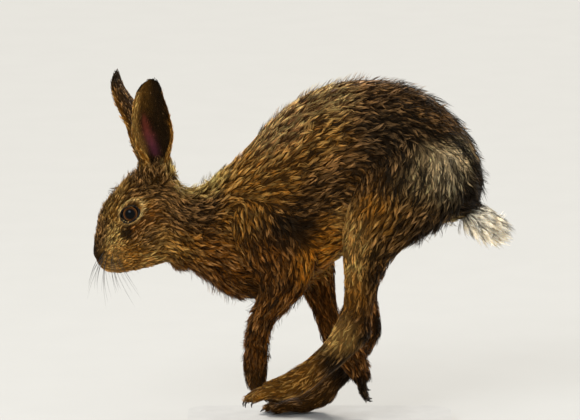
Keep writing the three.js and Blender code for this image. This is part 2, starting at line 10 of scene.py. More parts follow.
import bpy
import numpy as np
from mathutils.kdtree import KDTree
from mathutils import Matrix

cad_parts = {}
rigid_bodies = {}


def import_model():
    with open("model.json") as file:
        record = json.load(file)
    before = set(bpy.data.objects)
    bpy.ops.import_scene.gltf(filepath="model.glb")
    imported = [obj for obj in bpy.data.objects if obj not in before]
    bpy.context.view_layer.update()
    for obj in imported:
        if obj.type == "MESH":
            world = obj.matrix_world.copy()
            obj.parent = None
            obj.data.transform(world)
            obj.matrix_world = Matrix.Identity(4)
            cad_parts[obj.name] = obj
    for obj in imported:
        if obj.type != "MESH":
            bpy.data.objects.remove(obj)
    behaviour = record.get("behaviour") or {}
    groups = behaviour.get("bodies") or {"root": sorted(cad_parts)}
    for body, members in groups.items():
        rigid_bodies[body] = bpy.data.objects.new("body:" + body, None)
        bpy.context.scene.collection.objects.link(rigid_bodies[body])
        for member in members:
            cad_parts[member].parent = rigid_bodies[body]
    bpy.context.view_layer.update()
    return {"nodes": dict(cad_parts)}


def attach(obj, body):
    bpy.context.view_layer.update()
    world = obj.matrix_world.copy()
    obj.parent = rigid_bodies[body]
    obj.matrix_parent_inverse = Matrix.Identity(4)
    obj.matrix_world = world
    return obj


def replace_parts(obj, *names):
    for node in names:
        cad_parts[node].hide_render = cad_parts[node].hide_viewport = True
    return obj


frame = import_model()

# %% [markdown]
# The camera comes first, because every later look depends on it. The picture is taken with a long lens from
# about six metres, level with the animal's side and tipped down ten degrees. The lens follows from the size
# that one pixel covers at the hare: a picture 580 pixels wide then spans 609 millimetres.

# %% Camera
MM = 0.001
picture = {"width": 580, "middle": (290, 210)}
pixel_size = 1.05 * MM
camera_distance = 6.0
camera_pitch = math.radians(10)
sensor_width = 36.0
plumb_pixel = (320, 422)
ground_level = 12 * MM

camera_data = bpy.data.cameras.new("camera")
camera = bpy.data.objects.new("camera", camera_data)
bpy.context.scene.collection.objects.link(camera)
bpy.context.scene.camera = camera
camera_data.sensor_width = sensor_width
camera_data.lens = sensor_width * camera_distance / (picture["width"] * pixel_size)
camera_data.clip_end = 60.0

aim_x = (picture["middle"][0] - plumb_pixel[0]) * pixel_size
aim_z = (plumb_pixel[1] - picture["middle"][1]) * pixel_size / math.cos(camera_pitch) + ground_level
camera_height = aim_z + camera_distance * math.sin(camera_pitch)
camera.location = (aim_x, -camera_distance * math.cos(camera_pitch), camera_height)
camera.rotation_euler = (math.pi / 2 - camera_pitch, 0, 0)
print("lens", round(camera_data.lens, 1), "mm, aimed at", round(aim_x, 4), round(aim_z, 4))

# %% [markdown]
# A mesh is a list of points and a list of faces. One helper puts numpy arrays straight into Blender, with a
# map and a colour for each point where they are given, so that no later step loops over points in Python.


# %% Mesh helper
def add_mesh(name, points, faces, colour=None, bake_map=None):
    """Makes a smooth mesh object from points (N, 3) and faces (F, corners), each with as many corners."""
    mesh = bpy.data.meshes.new(name)
    count, corners = faces.shape
    mesh.vertices.add(len(points))
    mesh.vertices.foreach_set("co", np.ascontiguousarray(points, np.float32).ravel())
    mesh.loops.add(count * corners)
    mesh.loops.foreach_set("vertex_index", np.ascontiguousarray(faces, np.int32).ravel())
    mesh.polygons.add(count)
    mesh.polygons.foreach_set("loop_start", np.arange(count, dtype=np.int32) * corners)
    mesh.update(calc_edges=True)
    mesh.shade_smooth()
    if colour is not None:
        paint(mesh, colour)
    if bake_map is not None:
        layer = mesh.uv_layers.new(name="OFBake")
        layer.uv.foreach_set("vector", bake_map[faces.ravel()].astype(np.float32).ravel())
    piece = bpy.data.objects.new(name, mesh)
    bpy.context.scene.collection.objects.link(piece)
    return piece


def paint(mesh, colour):
    """Keeps a colour (N, 3) at each point, in the attribute that the coat's materials read."""
    layer = mesh.color_attributes.get("coat_colour")
    layer = layer or mesh.color_attributes.new("coat_colour", "FLOAT_COLOR", "POINT")
    opaque = np.column_stack([colour, np.ones(len(colour))])
    layer.data.foreach_set("color", opaque.astype(np.float32).ravel())


def points_of(mesh, field="co"):
    """Reads one vector at each point of a mesh, as an (N, 3) array."""
    source = mesh.vertices if field == "co" else mesh.vertex_normals
    values = np.zeros(len(source) * 3, np.float32)
    source.foreach_get("co" if field == "co" else "vector", values)
    return values.reshape(-1, 3).astype(float)


def grid_faces(rows, columns):
    """Four-cornered faces between neighbours of a grid whose columns close on themselves."""
    row, column = np.meshgrid(np.arange(rows - 1), np.arange(columns), indexing="ij")
    after = (column + 1) % columns
    this_row, next_row = row * columns, (row + 1) * columns
    corners = [this_row + column, this_row + after, next_row + after, next_row + column]
    return np.stack(corners, axis=-1).reshape(-1, 4)


def unit(vectors):
    """Each vector divided by its length."""
    return vectors / np.maximum(np.linalg.norm(vectors, axis=-1, keepdims=True), 1e-12)


# %% [markdown]
# The hare's flesh is drawn as cross-sections, as a taxidermist's form is. Each row holds two points of the
# side outline, the place and half width of the section across the body, how far its fullest part leans
# upwards and how square it is. A smooth curve through the rows gives as many rings as we like. Sculpting by
# hand would be the other way, but rows keep every size readable and equal to the solids below.

# %% Sections of trunk, limbs and tail, in millimetres
trunk_sections = [
    (-237.8, 190.5, -234.4, 183.0, 0, 4.5, 0.00, 2.0),  # nose
    (-238.0, 197.5, -230.5, 176.0, 0, 10.0, -0.10, 2.1),  # nostrils
    (-236.5, 209.0, -221.5, 172.5, 0, 14.0, -0.22, 2.2),  # whisker pads
    (-233.5, 221.0, -210.0, 172.5, 0, 17.0, -0.20, 2.2),  # muzzle
    (-229.5, 235.0, -198.5, 173.5, 0, 20.0, -0.08, 2.2),  # tear line
    (-222.0, 248.5, -187.0, 175.5, 0, 23.5, 0.02, 2.2),  # eyes
    (-210.0, 262.0, -176.5, 178.5, 0, 26.0, 0.00, 2.2),  # brow
    (-196.0, 275.0, -167.0, 181.5, 0, 27.0, -0.02, 2.2),  # forehead
    (-178.5, 284.5, -159.5, 182.5, 0, 27.0, 0.00, 2.15),  # crown
    (-161.5, 279.5, -150.0, 177.5, 0, 27.5, -0.05, 2.1),  # nape
    (-144.0, 262.5, -135.5, 173.0, 0, 30.0, -0.10, 2.1),  # neck
    (-122.0, 264.5, -117.5, 163.0, 0, 34.5, -0.12, 2.1),  # foot of the neck
    (-98.5, 284.0, -93.5, 147.5, 0, 41.0, -0.15, 2.15),  # withers
    (-74.5, 308.5, -66.0, 143.0, 0, 46.0, -0.18, 2.2),  # shoulders
    (-48.5, 337.0, -35.5, 145.5, 0, 49.5, -0.15, 2.2),  # chest
    (-18.0, 360.0, -6.5, 164.5, 0, 52.0, -0.10, 2.2),  # ribs
    (14.5, 373.0, 22.0, 188.0, 0, 52.5, -0.05, 2.2),  # loin
    (49.5, 376.5, 50.5, 203.0, 0, 51.0, 0.00, 2.2),  # belly
    (84.0, 372.5, 75.5, 210.5, 0, 48.0, 0.00, 2.2),  # flank
    (115.5, 359.0, 97.5, 216.5, 0, 44.0, 0.00, 2.2),  # croup
    (142.0, 334.5, 117.5, 221.0, 0, 38.0, 0.00, 2.1),  # hips
    (160.0, 307.5, 135.5, 225.0, 0, 31.5, 0.00, 2.1),  # rump
    (167.5, 279.0, 149.0, 231.5, 0, 21.5, 0.00, 2.0),  # dock
    (165.0, 256.0, 158.5, 242.5, 0, 8.0, 0.00, 2.0),  # seat
]
limb_sections = {
    "fore_left": [
        (-84.0, 263.5, -38.0, 278.5, -24.0, 10.0, 0.00, 2.1),  # shoulder blade
        (-96.5, 226.5, -21.0, 241.5, -34.0, 19.0, 0.00, 2.1),  # shoulder
        (-84.0, 192.5, -4.0, 203.5, -35.5, 19.5, 0.00, 2.1),  # upper arm
        (-67.0, 166.5, -11.5, 164.5, -32.0, 17.5, -0.10, 2.1),  # elbow
        (-69.5, 143.0, -29.5, 143.0, -28.5, 14.0, -0.05, 2.1),  # below the elbow
        (-76.0, 124.5, -44.5, 125.5, -26.0, 12.0, 0.00, 2.1),  # upper forearm
        (-80.0, 105.5, -51.5, 107.0, -23.5, 11.0, 0.00, 2.1),  # middle of the forearm
        (-81.5, 86.0, -53.0, 87.0, -21.0, 10.5, 0.00, 2.1),  # lower forearm
        (-81.5, 67.5, -54.0, 68.5, -19.0, 10.5, 0.00, 2.1),  # wrist
        (-77.5, 52.5, -55.0, 59.0, -17.5, 11.0, 0.00, 2.1),  # paw
        (-68.0, 39.5, -48.5, 51.0, -16.5, 11.5, 0.00, 2.1),  # knuckles
    ],
    "fore_right": [
        (-73.5, 259.5, -27.5, 274.5, 24.0, 10.0, 0.00, 2.1),  # shoulder blade
        (-84.0, 220.0, -10.5, 234.5, 34.0, 19.0, 0.00, 2.1),  # shoulder
        (-67.0, 187.5, 10.5, 202.5, 35.5, 19.5, 0.00, 2.1),  # upper arm
        (-31.5, 166.5, 16.0, 176.0, 32.0, 17.5, -0.10, 2.1),  # elbow
        (-20.0, 145.5, 17.0, 154.0, 30.0, 14.0, -0.05, 2.1),  # below the elbow
        (-10.5, 126.5, 19.5, 134.0, 28.0, 12.0, 0.00, 2.1),  # upper forearm
        (-3.5, 108.0, 24.0, 115.5, 25.0, 11.0, 0.00, 2.1),  # middle of the forearm
        (3.0, 89.5, 31.5, 100.0, 21.0, 10.5, 0.00, 2.1),  # lower forearm
        (14.5, 74.5, 46.0, 86.5, 17.5, 10.5, 0.00, 2.1),  # wrist
        (26.0, 62.5, 52.5, 72.0, 16.0, 11.0, 0.00, 2.1),  # paw
        (34.5, 50.0, 55.5, 57.0, 15.0, 11.5, 0.00, 2.1),  # knuckles
    ],
    "hind_left": [
        (59.0, 333.5, 145.0, 296.5, -28.0, 18.0, 0.00, 2.1),  # hip
        (35.5, 292.0, 149.0, 255.0, -35.0, 24.0, 0.00, 2.15),  # upper thigh
        (27.5, 260.0, 129.0, 233.5, -41.0, 24.0, 0.10, 2.15),  # thigh
        (23.5, 233.5, 100.0, 214.0, -46.0, 20.5, 0.25, 2.1),  # knee
        (22.5, 209.5, 77.5, 196.5, -48.5, 17.0, 0.20, 2.1),  # calf
        (23.0, 185.0, 66.0, 179.5, -50.0, 14.0, 0.10, 2.1),  # middle of the shank
        (23.5, 159.5, 59.5, 157.5, -50.5, 12.5, 0.00, 2.1),  # lower shank
        (20.0, 139.0, 55.5, 134.0, -50.0, 12.0, 0.00, 2.1),  # above the hock
        (11.5, 119.5, 54.0, 115.5, -49.5, 12.5, 0.00, 2.1),  # hock
        (0.5, 103.0, 43.0, 99.5, -48.5, 13.0, 0.00, 2.1),  # heel
        (-20.0, 84.5, 11.5, 71.5, -47.0, 13.0, 0.00, 2.1),  # middle of the foot
        (-43.0, 70.5, -14.5, 51.0, -45.5, 14.0, 0.00, 2.1),  # fore foot
        (-58.0, 64.0, -38.0, 42.5, -45.0, 14.0, 0.00, 2.1),  # ball
    ],
    "hind_right": [
        (69.5, 323.5, 150.0, 286.5, 28.0, 18.0, 0.00, 2.1),  # hip
        (46.0, 282.0, 153.5, 242.5, 35.0, 24.0, 0.00, 2.15),  # upper thigh
        (38.0, 250.0, 132.5, 221.5, 40.0, 24.0, 0.10, 2.15),  # thigh
        (32.5, 221.5, 103.0, 200.5, 44.0, 20.5, 0.25, 2.1),  # knee
        (30.5, 194.5, 83.0, 183.0, 46.0, 17.0, 0.20, 2.1),  # calf
        (30.5, 170.0, 71.5, 166.0, 47.0, 14.0, 0.10, 2.1),  # middle of the shank
        (30.5, 146.5, 63.5, 143.5, 47.0, 12.5, 0.00, 2.1),  # lower shank
        (30.5, 128.5, 64.0, 123.0, 46.5, 12.0, 0.00, 2.1),  # above the hock
        (30.0, 110.5, 67.5, 101.0, 46.0, 12.5, 0.00, 2.1),  # hock
        (27.5, 92.5, 60.0, 84.0, 45.0, 13.0, 0.00, 2.1),  # heel
        (20.0, 69.5, 42.0, 55.5, 43.5, 13.0, 0.00, 2.1),  # middle of the foot
        (5.0, 52.5, 24.0, 37.5, 42.0, 14.0, 0.00, 2.1),  # fore foot
        (-10.5, 40.0, 14.0, 22.5, 41.0, 14.5, 0.00, 2.1),  # ball
        (-25.0, 32.0, -8.0, 13.0, 40.5, 15.0, 0.00, 2.3),  # toe pads
    ],
}
tail_sections = [
    (149.0, 270.0, 132.5, 236.0, 0, 12.0, 0, 2),  # root
    (161.5, 259.0, 143.0, 225.0, 0, 15.0, 0, 2),  # dock
    (174.5, 246.5, 156.5, 215.5, 0, 15.5, 0, 2),  # middle
    (186.0, 235.0, 171.0, 207.5, 0, 13.0, 0, 2),  # end of the tail bone
]
# Swellings and hollows of the head, alike on both sides: x, y, z, height and reach
head_forms = [
    (-200.0, 24.0, 240.0, 1.6, 13.0),  # rim of the eye socket
    (-204.0, 20.0, 255.0, 2.2, 9.0),  # brow ridge
    (-177.0, 27.0, 212.0, 3.5, 17.0),  # cheek
    (-219.0, 15.0, 190.0, 3.2, 10.5),  # whisker pad
    (-195.0, 24.0, 220.0, 1.8, 9.0),  # cheek bone
    (-217.0, 17.0, 216.0, -1.8, 9.0),  # groove before the eye
    (-205.0, 22.0, 194.0, -1.4, 8.0),  # hollow behind the whisker pad
    (-211.0, 5.0, 171.5, 1.5, 9.0),  # chin
]
limb_rows = [len(rows) for rows in limb_sections.values()]
print("rows of sections:", len(trunk_sections), limb_rows, len(tail_sections))

# %% [markdown]
# A body is a function of two parameters: the place along it, read from the rows by a smooth curve, and the
# angle round it. The skin lies inside the solid by the depth of the coat, so each ring is drawn smaller by
# that inset. The ends are closed by domes whose rings shrink to a pole.


# %% Bodies from sections
dome_rings = 6


def blend_rows(rows, places):
    """Rows of numbers blended at many places: between two rows, the cubic whose slope at a row is half the
    difference of its neighbours."""
    rows = np.asarray(rows, float)
    last = len(rows) - 1
    index = np.clip(np.floor(places).astype(int), 0, last - 1)
    t = (places - index)[:, None]
    before, start, end, after = (rows[np.clip(index + step, 0, last)] for step in (-1, 0, 1, 2))
    slope, next_slope, rise = (end - before) / 2, (after - start) / 2, end - start
    return start + t * (slope + t * (3 * rise - 2 * slope - next_slope + t * (slope + next_slope - 2 * rise)))


def head_swell(points):
    """Sum of round swellings: height times the bell curve of the distance over the reach, in millimetres."""
    mirrored = np.stack([points[..., 0], np.abs(points[..., 1]), points[..., 2]], axis=-1)
    swell = np.zeros(points.shape[:-1])
    for x, y, z, height, reach in head_forms:
        distance = np.linalg.norm(mirrored - (x, y, z), axis=-1)
        swell += height * np.exp(-((distance / reach) ** 2))
    return swell


def domed(grid, bulges):
    """Adds rounded ends: each ring is the end ring times a cosine, moved out by the bulge times a sine."""
    turn = np.linspace(0, np.pi / 2, dome_rings + 1)[1:, None, None]

    def cap(end, inner, bulge):
        centre = end.mean(axis=0)
        outward = unit(centre - inner.mean(axis=0))
        return centre + (end - centre) * np.cos(turn) + outward * bulge * np.sin(turn)

    return np.concatenate([cap(grid[0], grid[1], bulges[0])[::-1], grid, cap(grid[-1], grid[-2], bulges[1])])


def body_grid(rows, start, end, rings, sides, inset, bulges, swell=None):
    """Rings of a rounded body: middle + half chord x bowed cosine, and across it half width x bowed sine."""
    values = blend_rows(rows, np.linspace(start, end, rings))
    x1, z1, x2, z2, y, half, lean, power = (column[:, None] for column in values.T)
    angle = 2 * np.pi * (np.arange(sides) + 0.5) / sides

    def bowed(value):
        return np.sign(value) * np.abs(value) ** (2 / power)

    chord = np.hypot(x1 - x2, z1 - z2) / 2
    along = bowed(np.cos(angle)) * (1 - inset / chord)
    across = bowed(np.sin(angle)) * (half - inset) * (1 + lean * np.cos(angle))
    offset = np.stack([(x1 - x2) / 2 * along, across, (z1 - z2) / 2 * along], axis=-1)
    middle = np.stack([(x1 + x2) / 2, y, (z1 + z2) / 2], axis=-1)
    grid = middle + offset
    if swell is not None:
        grid = grid + unit(offset) * swell(grid)[..., None]
    return domed(grid, [bulge - inset for bulge in bulges])


# %% [markdown]
# Toes are short rods of round rings along a bent line, splayed a little from each other. The same rods in
# the solids carry the claws, which stay as they are.

# %% Toes
feet = {
    "fore_left": dict(root=(-60, -16.5, 46.5), forward=(0.86, 0, -0.5), back=(-0.5, 0, -0.86),
                      toes=(0.55, 0.92, 1, 0.95, 0.78), length=20, spacing=4.7, splay=1.15, radii=(5.4, 3.6)),
    "fore_right": dict(root=(44.5, 15, 55), forward=(0.17, 0, -0.985), back=(-0.985, 0, -0.17),
                       toes=(0.78, 0.95, 1, 0.92, 0.55), length=22, spacing=4.7, splay=1.15, radii=(5.6, 3.8)),
    "hind_left": dict(root=(-45, -45, 54), forward=(-0.968, 0, -0.25), back=(-0.25, 0, 0.968),
                      toes=(0.72, 0.93, 1, 0.82), length=33, spacing=6.6, splay=1.2, radii=(7.2, 4.6)),
    "hind_right": dict(root=(-16, 41, 20.5), forward=(-0.9995, 0, -0.03), back=(-0.03, 0, 0.9995),
                       toes=(0.8, 1, 0.93, 0.72), length=40, spacing=7, splay=1.25, radii=(7.8, 5.2)),
}
toe_rings, toe_sides = 12, 16


def toe_grid(foot, index, inset):
    """Round rings along a parabola through the toe's root, knuckle and tip, their radius going from one
    value to the other as the square of the place."""
    forward, back, root = (np.array(foot[key], float) for key in ("forward", "back", "root"))
    lateral = (index - (len(foot["toes"]) - 1) / 2) * foot["spacing"]
    length = foot["length"] * foot["toes"][index]
    place = np.linspace(0, 1, toe_rings)[:, None]
    arch = foot["radii"][0] * 0.18 * (5 * place - 6 * place**2)
    spread = 0.8 + (foot["splay"] - 0.8) * place
    middle = root + forward * length * place + back * arch + np.array((0, lateral, 0)) * spread
    tangent = unit(np.gradient(middle, axis=0))
    up = unit(np.cross(tangent, (0, 1, 0)))
    across = np.cross(up, tangent)
    radius = foot["radii"][0] + (foot["radii"][1] - foot["radii"][0]) * place**2 - inset
    angle = 2 * np.pi * np.arange(toe_sides) / toe_sides
    circle = up[:, None] * np.cos(angle)[:, None] + across[:, None] * np.sin(angle)[:, None]
    grid = middle[:, None] + circle * radius[:, None]
    return domed(grid, [foot["radii"][0] * 0.8, foot["radii"][1] * 0.8 - inset])


# %% [markdown]
# An ear is a curled leaf. Near its root it is a closed tube, then it opens into a cup whose rim narrows to
# the tip. Across the leaf the angle turns from one rim to the other, and the half angle of that curl falls
# from 178 to 44 degrees along the ear. The leaf has two faces, the furred back and the bare inside.

# %% Ear leaf
ear = {"half_width": 21.5, "flatness": 0.62, "wall": 1.7, "tip_wall": 1.0}
ears = {
    "ear_left": dict(root=(-172.5, -15, 280), tip=(-176.5, -27, 380), facing=(0.35, -0.93, 0), bow=2.8),
    "ear_right": dict(root=(-174, 15, 278), tip=(-214, 23, 381.5), facing=(-0.94, 0.34, 0), bow=6),
}
# Outline of the ear: place from root to tip, share of the half width, half angle of the curl in degrees
ear_outline = [
    (0.00, 0.92, 178), (0.09, 0.84, 172), (0.17, 0.76, 150), (0.25, 0.83, 126), (0.34, 0.95, 108),
    (0.43, 1.00, 94), (0.55, 0.96, 82), (0.67, 0.88, 70), (0.79, 0.75, 60), (0.90, 0.61, 52),
    (0.96, 0.45, 47), (0.99, 0.27, 45), (1.00, 0.12, 44),
]
ear_rings, ear_across = 70, 26


def ear_frame(sizes):
    """The ear's own axes: along it, out of its opening, and across."""
    start, tip, open_way = (np.array(sizes[key], float) for key in ("root", "tip", "facing"))
    length = np.linalg.norm(tip - start)
    along = (tip - start) / length
    open_way = unit(open_way - along * open_way.dot(along))
    return start, along, length, open_way, np.cross(along, open_way)


def ear_leaf(sizes, places, thickness):
    """Closed rings of the leaf: the outer face turns from rim to rim, the inner face turns back."""
    start, along, length, open_way, wide = ear_frame(sizes)
    marks = np.array([row[0] for row in ear_outline])
    index = np.clip(np.searchsorted(marks, places) - 1, 0, len(marks) - 2)
    share_place = index + np.clip(places - marks[index], 0, None) / (marks[index + 1] - marks[index])
    _, share, half_angle = blend_rows(ear_outline, share_place).T
    curl = np.radians(half_angle)
    radius = share * ear["half_width"] / np.sin(np.minimum(curl, np.pi / 2))
    wall = thickness * (ear["wall"] + (ear["tip_wall"] - ear["wall"]) * places)
    level = ear["flatness"] * radius * np.maximum(np.cos(curl), 0)
    centre = start + along * (length * places)[:, None]
    centre[:, 0] -= sizes["bow"] * np.sin(np.pi * np.maximum(places, 0) ** 3)
    turns = np.linspace(-1, 1, ear_across)
    turn = np.concatenate([turns, turns[::-1]])
    side = np.repeat([0.5, -0.5], ear_across)
    reach = radius[:, None] + side * wall[:, None]
    sideways = reach * np.sin(turn * curl[:, None])
    outwards = level[:, None] - ear["flatness"] * reach * np.cos(turn * curl[:, None])
    return centre[:, None] + wide * sideways[..., None] + open_way * outwards[..., None], turn, side


def ear_grid(sizes):
    """The whole leaf from below the root to the tip, closed by rings of no thickness."""
    places = np.concatenate([[-0.05], 1 - (1 - np.linspace(-0.04 / 1.04, 1, ear_rings)) ** 1.3 * 1.04, [1.01]])
    thickness = np.ones(len(places))
    thickness[[0, -1]] = 0
    places[1] = -0.04
    grid, turn, side = ear_leaf(sizes, np.clip(places, -0.05, 1.01), thickness)
    return grid, places, turn, side


def ear_root_grid(sizes, inset):
    """The ear's solid root: flat rings that flare where they enter the head."""
    start, along, length, open_way, wide = ear_frame(sizes)
    places = np.array([-0.16, -0.08, 0.0, 0.04])
    flare = np.array([1.14, 1.10, 1.04, 0.97])
    radius = flare * 0.9 * ear["half_width"] + 1 - inset
    centre = start + along * (length * places)[:, None]
    centre[:, 1] *= 1 + 2 * np.minimum(places, 0)
    angle = 2 * np.pi * np.arange(24) / 24
    circle = wide * np.sin(angle)[:, None] + open_way * ear["flatness"] * np.cos(angle)[:, None]
    return domed(centre[:, None] + circle * radius[:, None, None], [3, 2.5])


# %% [markdown]
# All the bodies are laid into each other and turned into one skin by a voxel remesh, which keeps only the
# outer surface and rounds the places where a limb leaves the trunk. A boolean union would keep a hard line
# there. Each body also leaves guide points behind: where they lie, which way the coat runs on them, and
# which body and place they belong to.

# %% Guides and bodies of the skin
coat_depth = {"head": 1.2, "trunk": 3.4, "limb": 2.2, "tail": 8.0, "toe": 1.0}
body_names = ["trunk", "fore_left", "fore_right", "hind_left", "hind_right", "tail", "ear_left", "ear_right"]
guides = {"point": [], "lie": [], "body": [], "place": [], "turn": [], "side": []}
skin_grids = []


def keep_guides(grid, body, places, turn=0.0, side=0.5):
    """Stores each grid point with the direction towards the next ring, the way that the coat lies."""
    lie = unit(np.gradient(grid, axis=0))
    shape = grid.shape[:2]
    guides["point"].append(grid.reshape(-1, 3))
    guides["lie"].append(lie.reshape(-1, 3))
    guides["body"].append(np.full(shape[0] * shape[1], body_names.index(body)))
    guides["place"].append(np.broadcast_to(np.asarray(places)[:, None], shape).ravel())
    guides["turn"].append(np.broadcast_to(turn, shape).ravel())
    guides["side"].append(np.broadcast_to(side, shape).ravel())


def keep_body(rows, body, inset, rings, sides, bulges, start=0, end=None, swell=None):
    """Adds a body to the skin and keeps its guides; the rings of a dome count as the row they close."""
    end = len(rows) - 1 if end is None else end
    grid = body_grid(rows, start, end, rings, sides, inset, bulges, swell)
    skin_grids.append(grid)
    places = np.concatenate([[start] * dome_rings, np.linspace(start, end, rings), [end] * dome_rings])
    keep_guides(grid, body, places)


keep_body(trunk_sections, "trunk", coat_depth["head"], 90, 72, (0.8, 3), 0, 9.5, head_swell)
keep_body(trunk_sections, "trunk", coat_depth["trunk"], 90, 72, (6, 6), 9.2, 23)
for name, rows in limb_sections.items():
    hind = name.startswith("hind")
    keep_body(rows, name, coat_depth["limb"], 80, 36, (6, 7) if hind else (5, 6))
    for index in range(len(feet[name]["toes"])):
        grid = toe_grid(feet[name], index, coat_depth["toe"])
        skin_grids.append(grid)
        keep_guides(grid, name, np.full(len(grid), len(rows) + 1.0))
keep_body(tail_sections, "tail", coat_depth["tail"], 20, 24, (8, 8))
for name, sizes in ears.items():
    skin_grids.append(ear_root_grid(sizes, 1.0))
print("bodies in the skin:", len(skin_grids), "guide points:", sum(len(part) for part in guides["point"]))

# %% [markdown]
# Around each eye the lids form a thick ring that hugs the ball. Here it is a rounded profile carried round
# the opening: at each turn the ring runs over the ball at the angle of the opening, wider than it is high.

# %% Lid rings
eye = {"radius": 11.5, "place": (-197.5, 19.5, 237.5), "facing": (-0.22, 0.96, 0.1), "opening": (58.0, 43.0),
       "slant": 0.3}


def eye_axes(sign):
    """Centre of one eye, the way that it faces, and its forward and upward directions."""
    mirror = np.array((1, sign, 1))
    centre = np.array(eye["place"]) * mirror
    facing = unit(np.array(eye["facing"]) * mirror)
    forward = unit(np.array((-1.0, 0, 0)) + facing * facing[0])
    up = np.cross(facing, forward) * sign
    return centre, facing, forward, up


def eye_rim(sign, turn, beyond=0.0, lift=0.0):
    """Points over the ball at the edge of the opening: turn goes round it, beyond is degrees outside it and
    lift is the height over the ball."""
    centre, facing, forward, up = eye_axes(sign)
    wide = np.radians(eye["opening"][0] + beyond) * np.cos(turn)
    tilt = np.radians(eye["opening"][1] + beyond) * np.sin(turn) - eye["slant"] * wide
    way = facing * (np.cos(wide) * np.cos(tilt))[..., None]
    way = way + forward * (np.sin(wide) * np.cos(tilt))[..., None]
    way = way + up * np.sin(tilt)[..., None]
    return centre + way * (eye["radius"] + lift)[..., None]


def lid_grid(sign, profile, turns=72):
    """A closed profile of (degrees beyond the rim, lift) carried round the opening."""
    turn = 2 * np.pi * np.arange(turns) / turns
    beyond, lift = (np.array(column)[:, None] for column in zip(*profile))
    shape = (len(profile), turns)
    return eye_rim(sign, *(np.broadcast_to(values, shape) for values in (turn, beyond, lift)))


lid_profile = [
    (0, 0.1), (-1, 0.8), (3, 1.5), (10, 1.7), (20, 1.3), (32, 0.4), (40, -1.5), (24, -2.5), (8, -1.2),
]


def ring_faces(rows, columns):
    """Faces of a grid that closes on itself both ways, as a tyre does."""
    faces = grid_faces(rows + 1, columns)
    return faces % (rows * columns)


lid_grids = [lid_grid(sign, lid_profile) for sign in (-1, 1)]
print("lid rings:", [grid.shape for grid in lid_grids])

# %% [markdown]
# All the grids now become one mesh, still as closed surfaces that run into each other. The Remesh modifier
# samples them in voxels of one millimetre and keeps the outer surface, and a Smooth modifier takes away the
# steps that the voxels leave.

# %% One skin
voxel = 1.0 * MM
skin_points, skin_faces, offset = [], [], 0
for grids, faces_of in ((skin_grids, grid_faces), (lid_grids, ring_faces)):
    for grid in grids:
        skin_points.append(grid.reshape(-1, 3))
        skin_faces.append(faces_of(*grid.shape[:2]) + offset)
        offset += grid.shape[0] * grid.shape[1]


def baked(piece):
    """The piece's mesh with its modifiers applied, put back in place of the old one."""
    graph = bpy.context.evaluated_depsgraph_get()
    mesh = bpy.data.meshes.new_from_object(piece.evaluated_get(graph))
    piece.modifiers.clear()
    piece.data = mesh
    return mesh


skin = add_mesh("skin", np.concatenate(skin_points) * MM, np.concatenate(skin_faces))
remesh = skin.modifiers.new("one surface", "REMESH")
remesh.mode = "VOXEL"
remesh.voxel_size = voxel
smooth = skin.modifiers.new("soften", "SMOOTH")
smooth.factor = 0.5
smooth.iterations = 8
mesh = baked(skin)
print("remeshed skin:", len(mesh.vertices), "points")

# %% [markdown]
# A skin this fine everywhere would be too heavy. Thick fur covers the trunk, so there the mesh is thinned
# by a Decimate modifier, while a vertex group keeps the head and the feet fine.

# %% Trunk thinned
skin_budget = 165000
head_start, head_fade = -150, 20
feet_top, feet_fade = 85, 25
points = points_of(mesh) / MM
fine_head = np.clip((head_start - points[:, 0]) / head_fade, 0, 1)
fine_feet = np.clip((feet_top - points[:, 2]) / feet_fade, 0, 1)
levels = np.round((1 - 0.95 * np.maximum(fine_head, fine_feet)) * 8) / 8
group = skin.vertex_groups.new(name="thick fur")
for level in np.unique(levels):
    group.add(np.flatnonzero(levels == level).tolist(), float(level), "REPLACE")
decimate = skin.modifiers.new("thin out", "DECIMATE")
decimate.vertex_group = group.name
decimate.vertex_group_factor = 4.0
decimate.ratio = skin_budget / (2 * len(points))
mesh = baked(skin)
skin.vertex_groups.clear()
print("thinned skin:", len(mesh.vertices), "points", len(mesh.polygons), "faces")

# %% [markdown]
# The ear leaves are thinner than two voxels, so they join the skin afterwards by a boolean, and a ball a
# little larger than the eye is cut out of it, which leaves clean lids.

# %% Ears on, eyes out
eye_room = 0.15


def ball_grid(centre, radius, rows=48, columns=72):
    """Rings of a ball: radius x cosine of the height angle round the axis, and radius x its sine along it."""
    height = np.linspace(-np.pi / 2, np.pi / 2, rows)[:, None]
    turn = 2 * np.pi * np.arange(columns) / columns
    parts = np.broadcast_arrays(np.cos(height) * np.cos(turn), np.cos(height) * np.sin(turn), np.sin(height))
    return np.array(centre) + radius * np.stack(parts, axis=-1)


def closed_piece(name, grid):
    """A grid closed by its poles, its doubled pole points merged and its faces turned outwards."""
    piece = add_mesh(name, grid.reshape(-1, 3) * MM, grid_faces(*grid.shape[:2]))
    weld = piece.modifiers.new("close the poles", "WELD")
    weld.merge_threshold = 1e-6
    baked(piece)
    turn_outwards(piece.data)
    return piece


def turn_outwards(mesh):
    """Flips a closed mesh whose volume, the sum of its corner products over six, comes out negative."""
    mesh.calc_loop_triangles()
    corners = np.zeros(len(mesh.loop_triangles) * 3, np.int32)
    mesh.loop_triangles.foreach_get("vertices", corners)
    a, b, c = (points_of(mesh)[corners[k::3]] for k in range(3))
    if np.einsum("ij,ij->i", a, np.cross(b, c)).sum() < 0:
        mesh.flip_normals()


def join_or_cut(target, tool, operation):
    """Joins one closed piece to another or cuts it out, and removes the tool."""
    boolean = target.modifiers.new(operation.lower(), "BOOLEAN")
    boolean.operation = operation
    boolean.solver = "MANIFOLD"
    boolean.object = tool
    baked(target)
    bpy.data.objects.remove(tool)


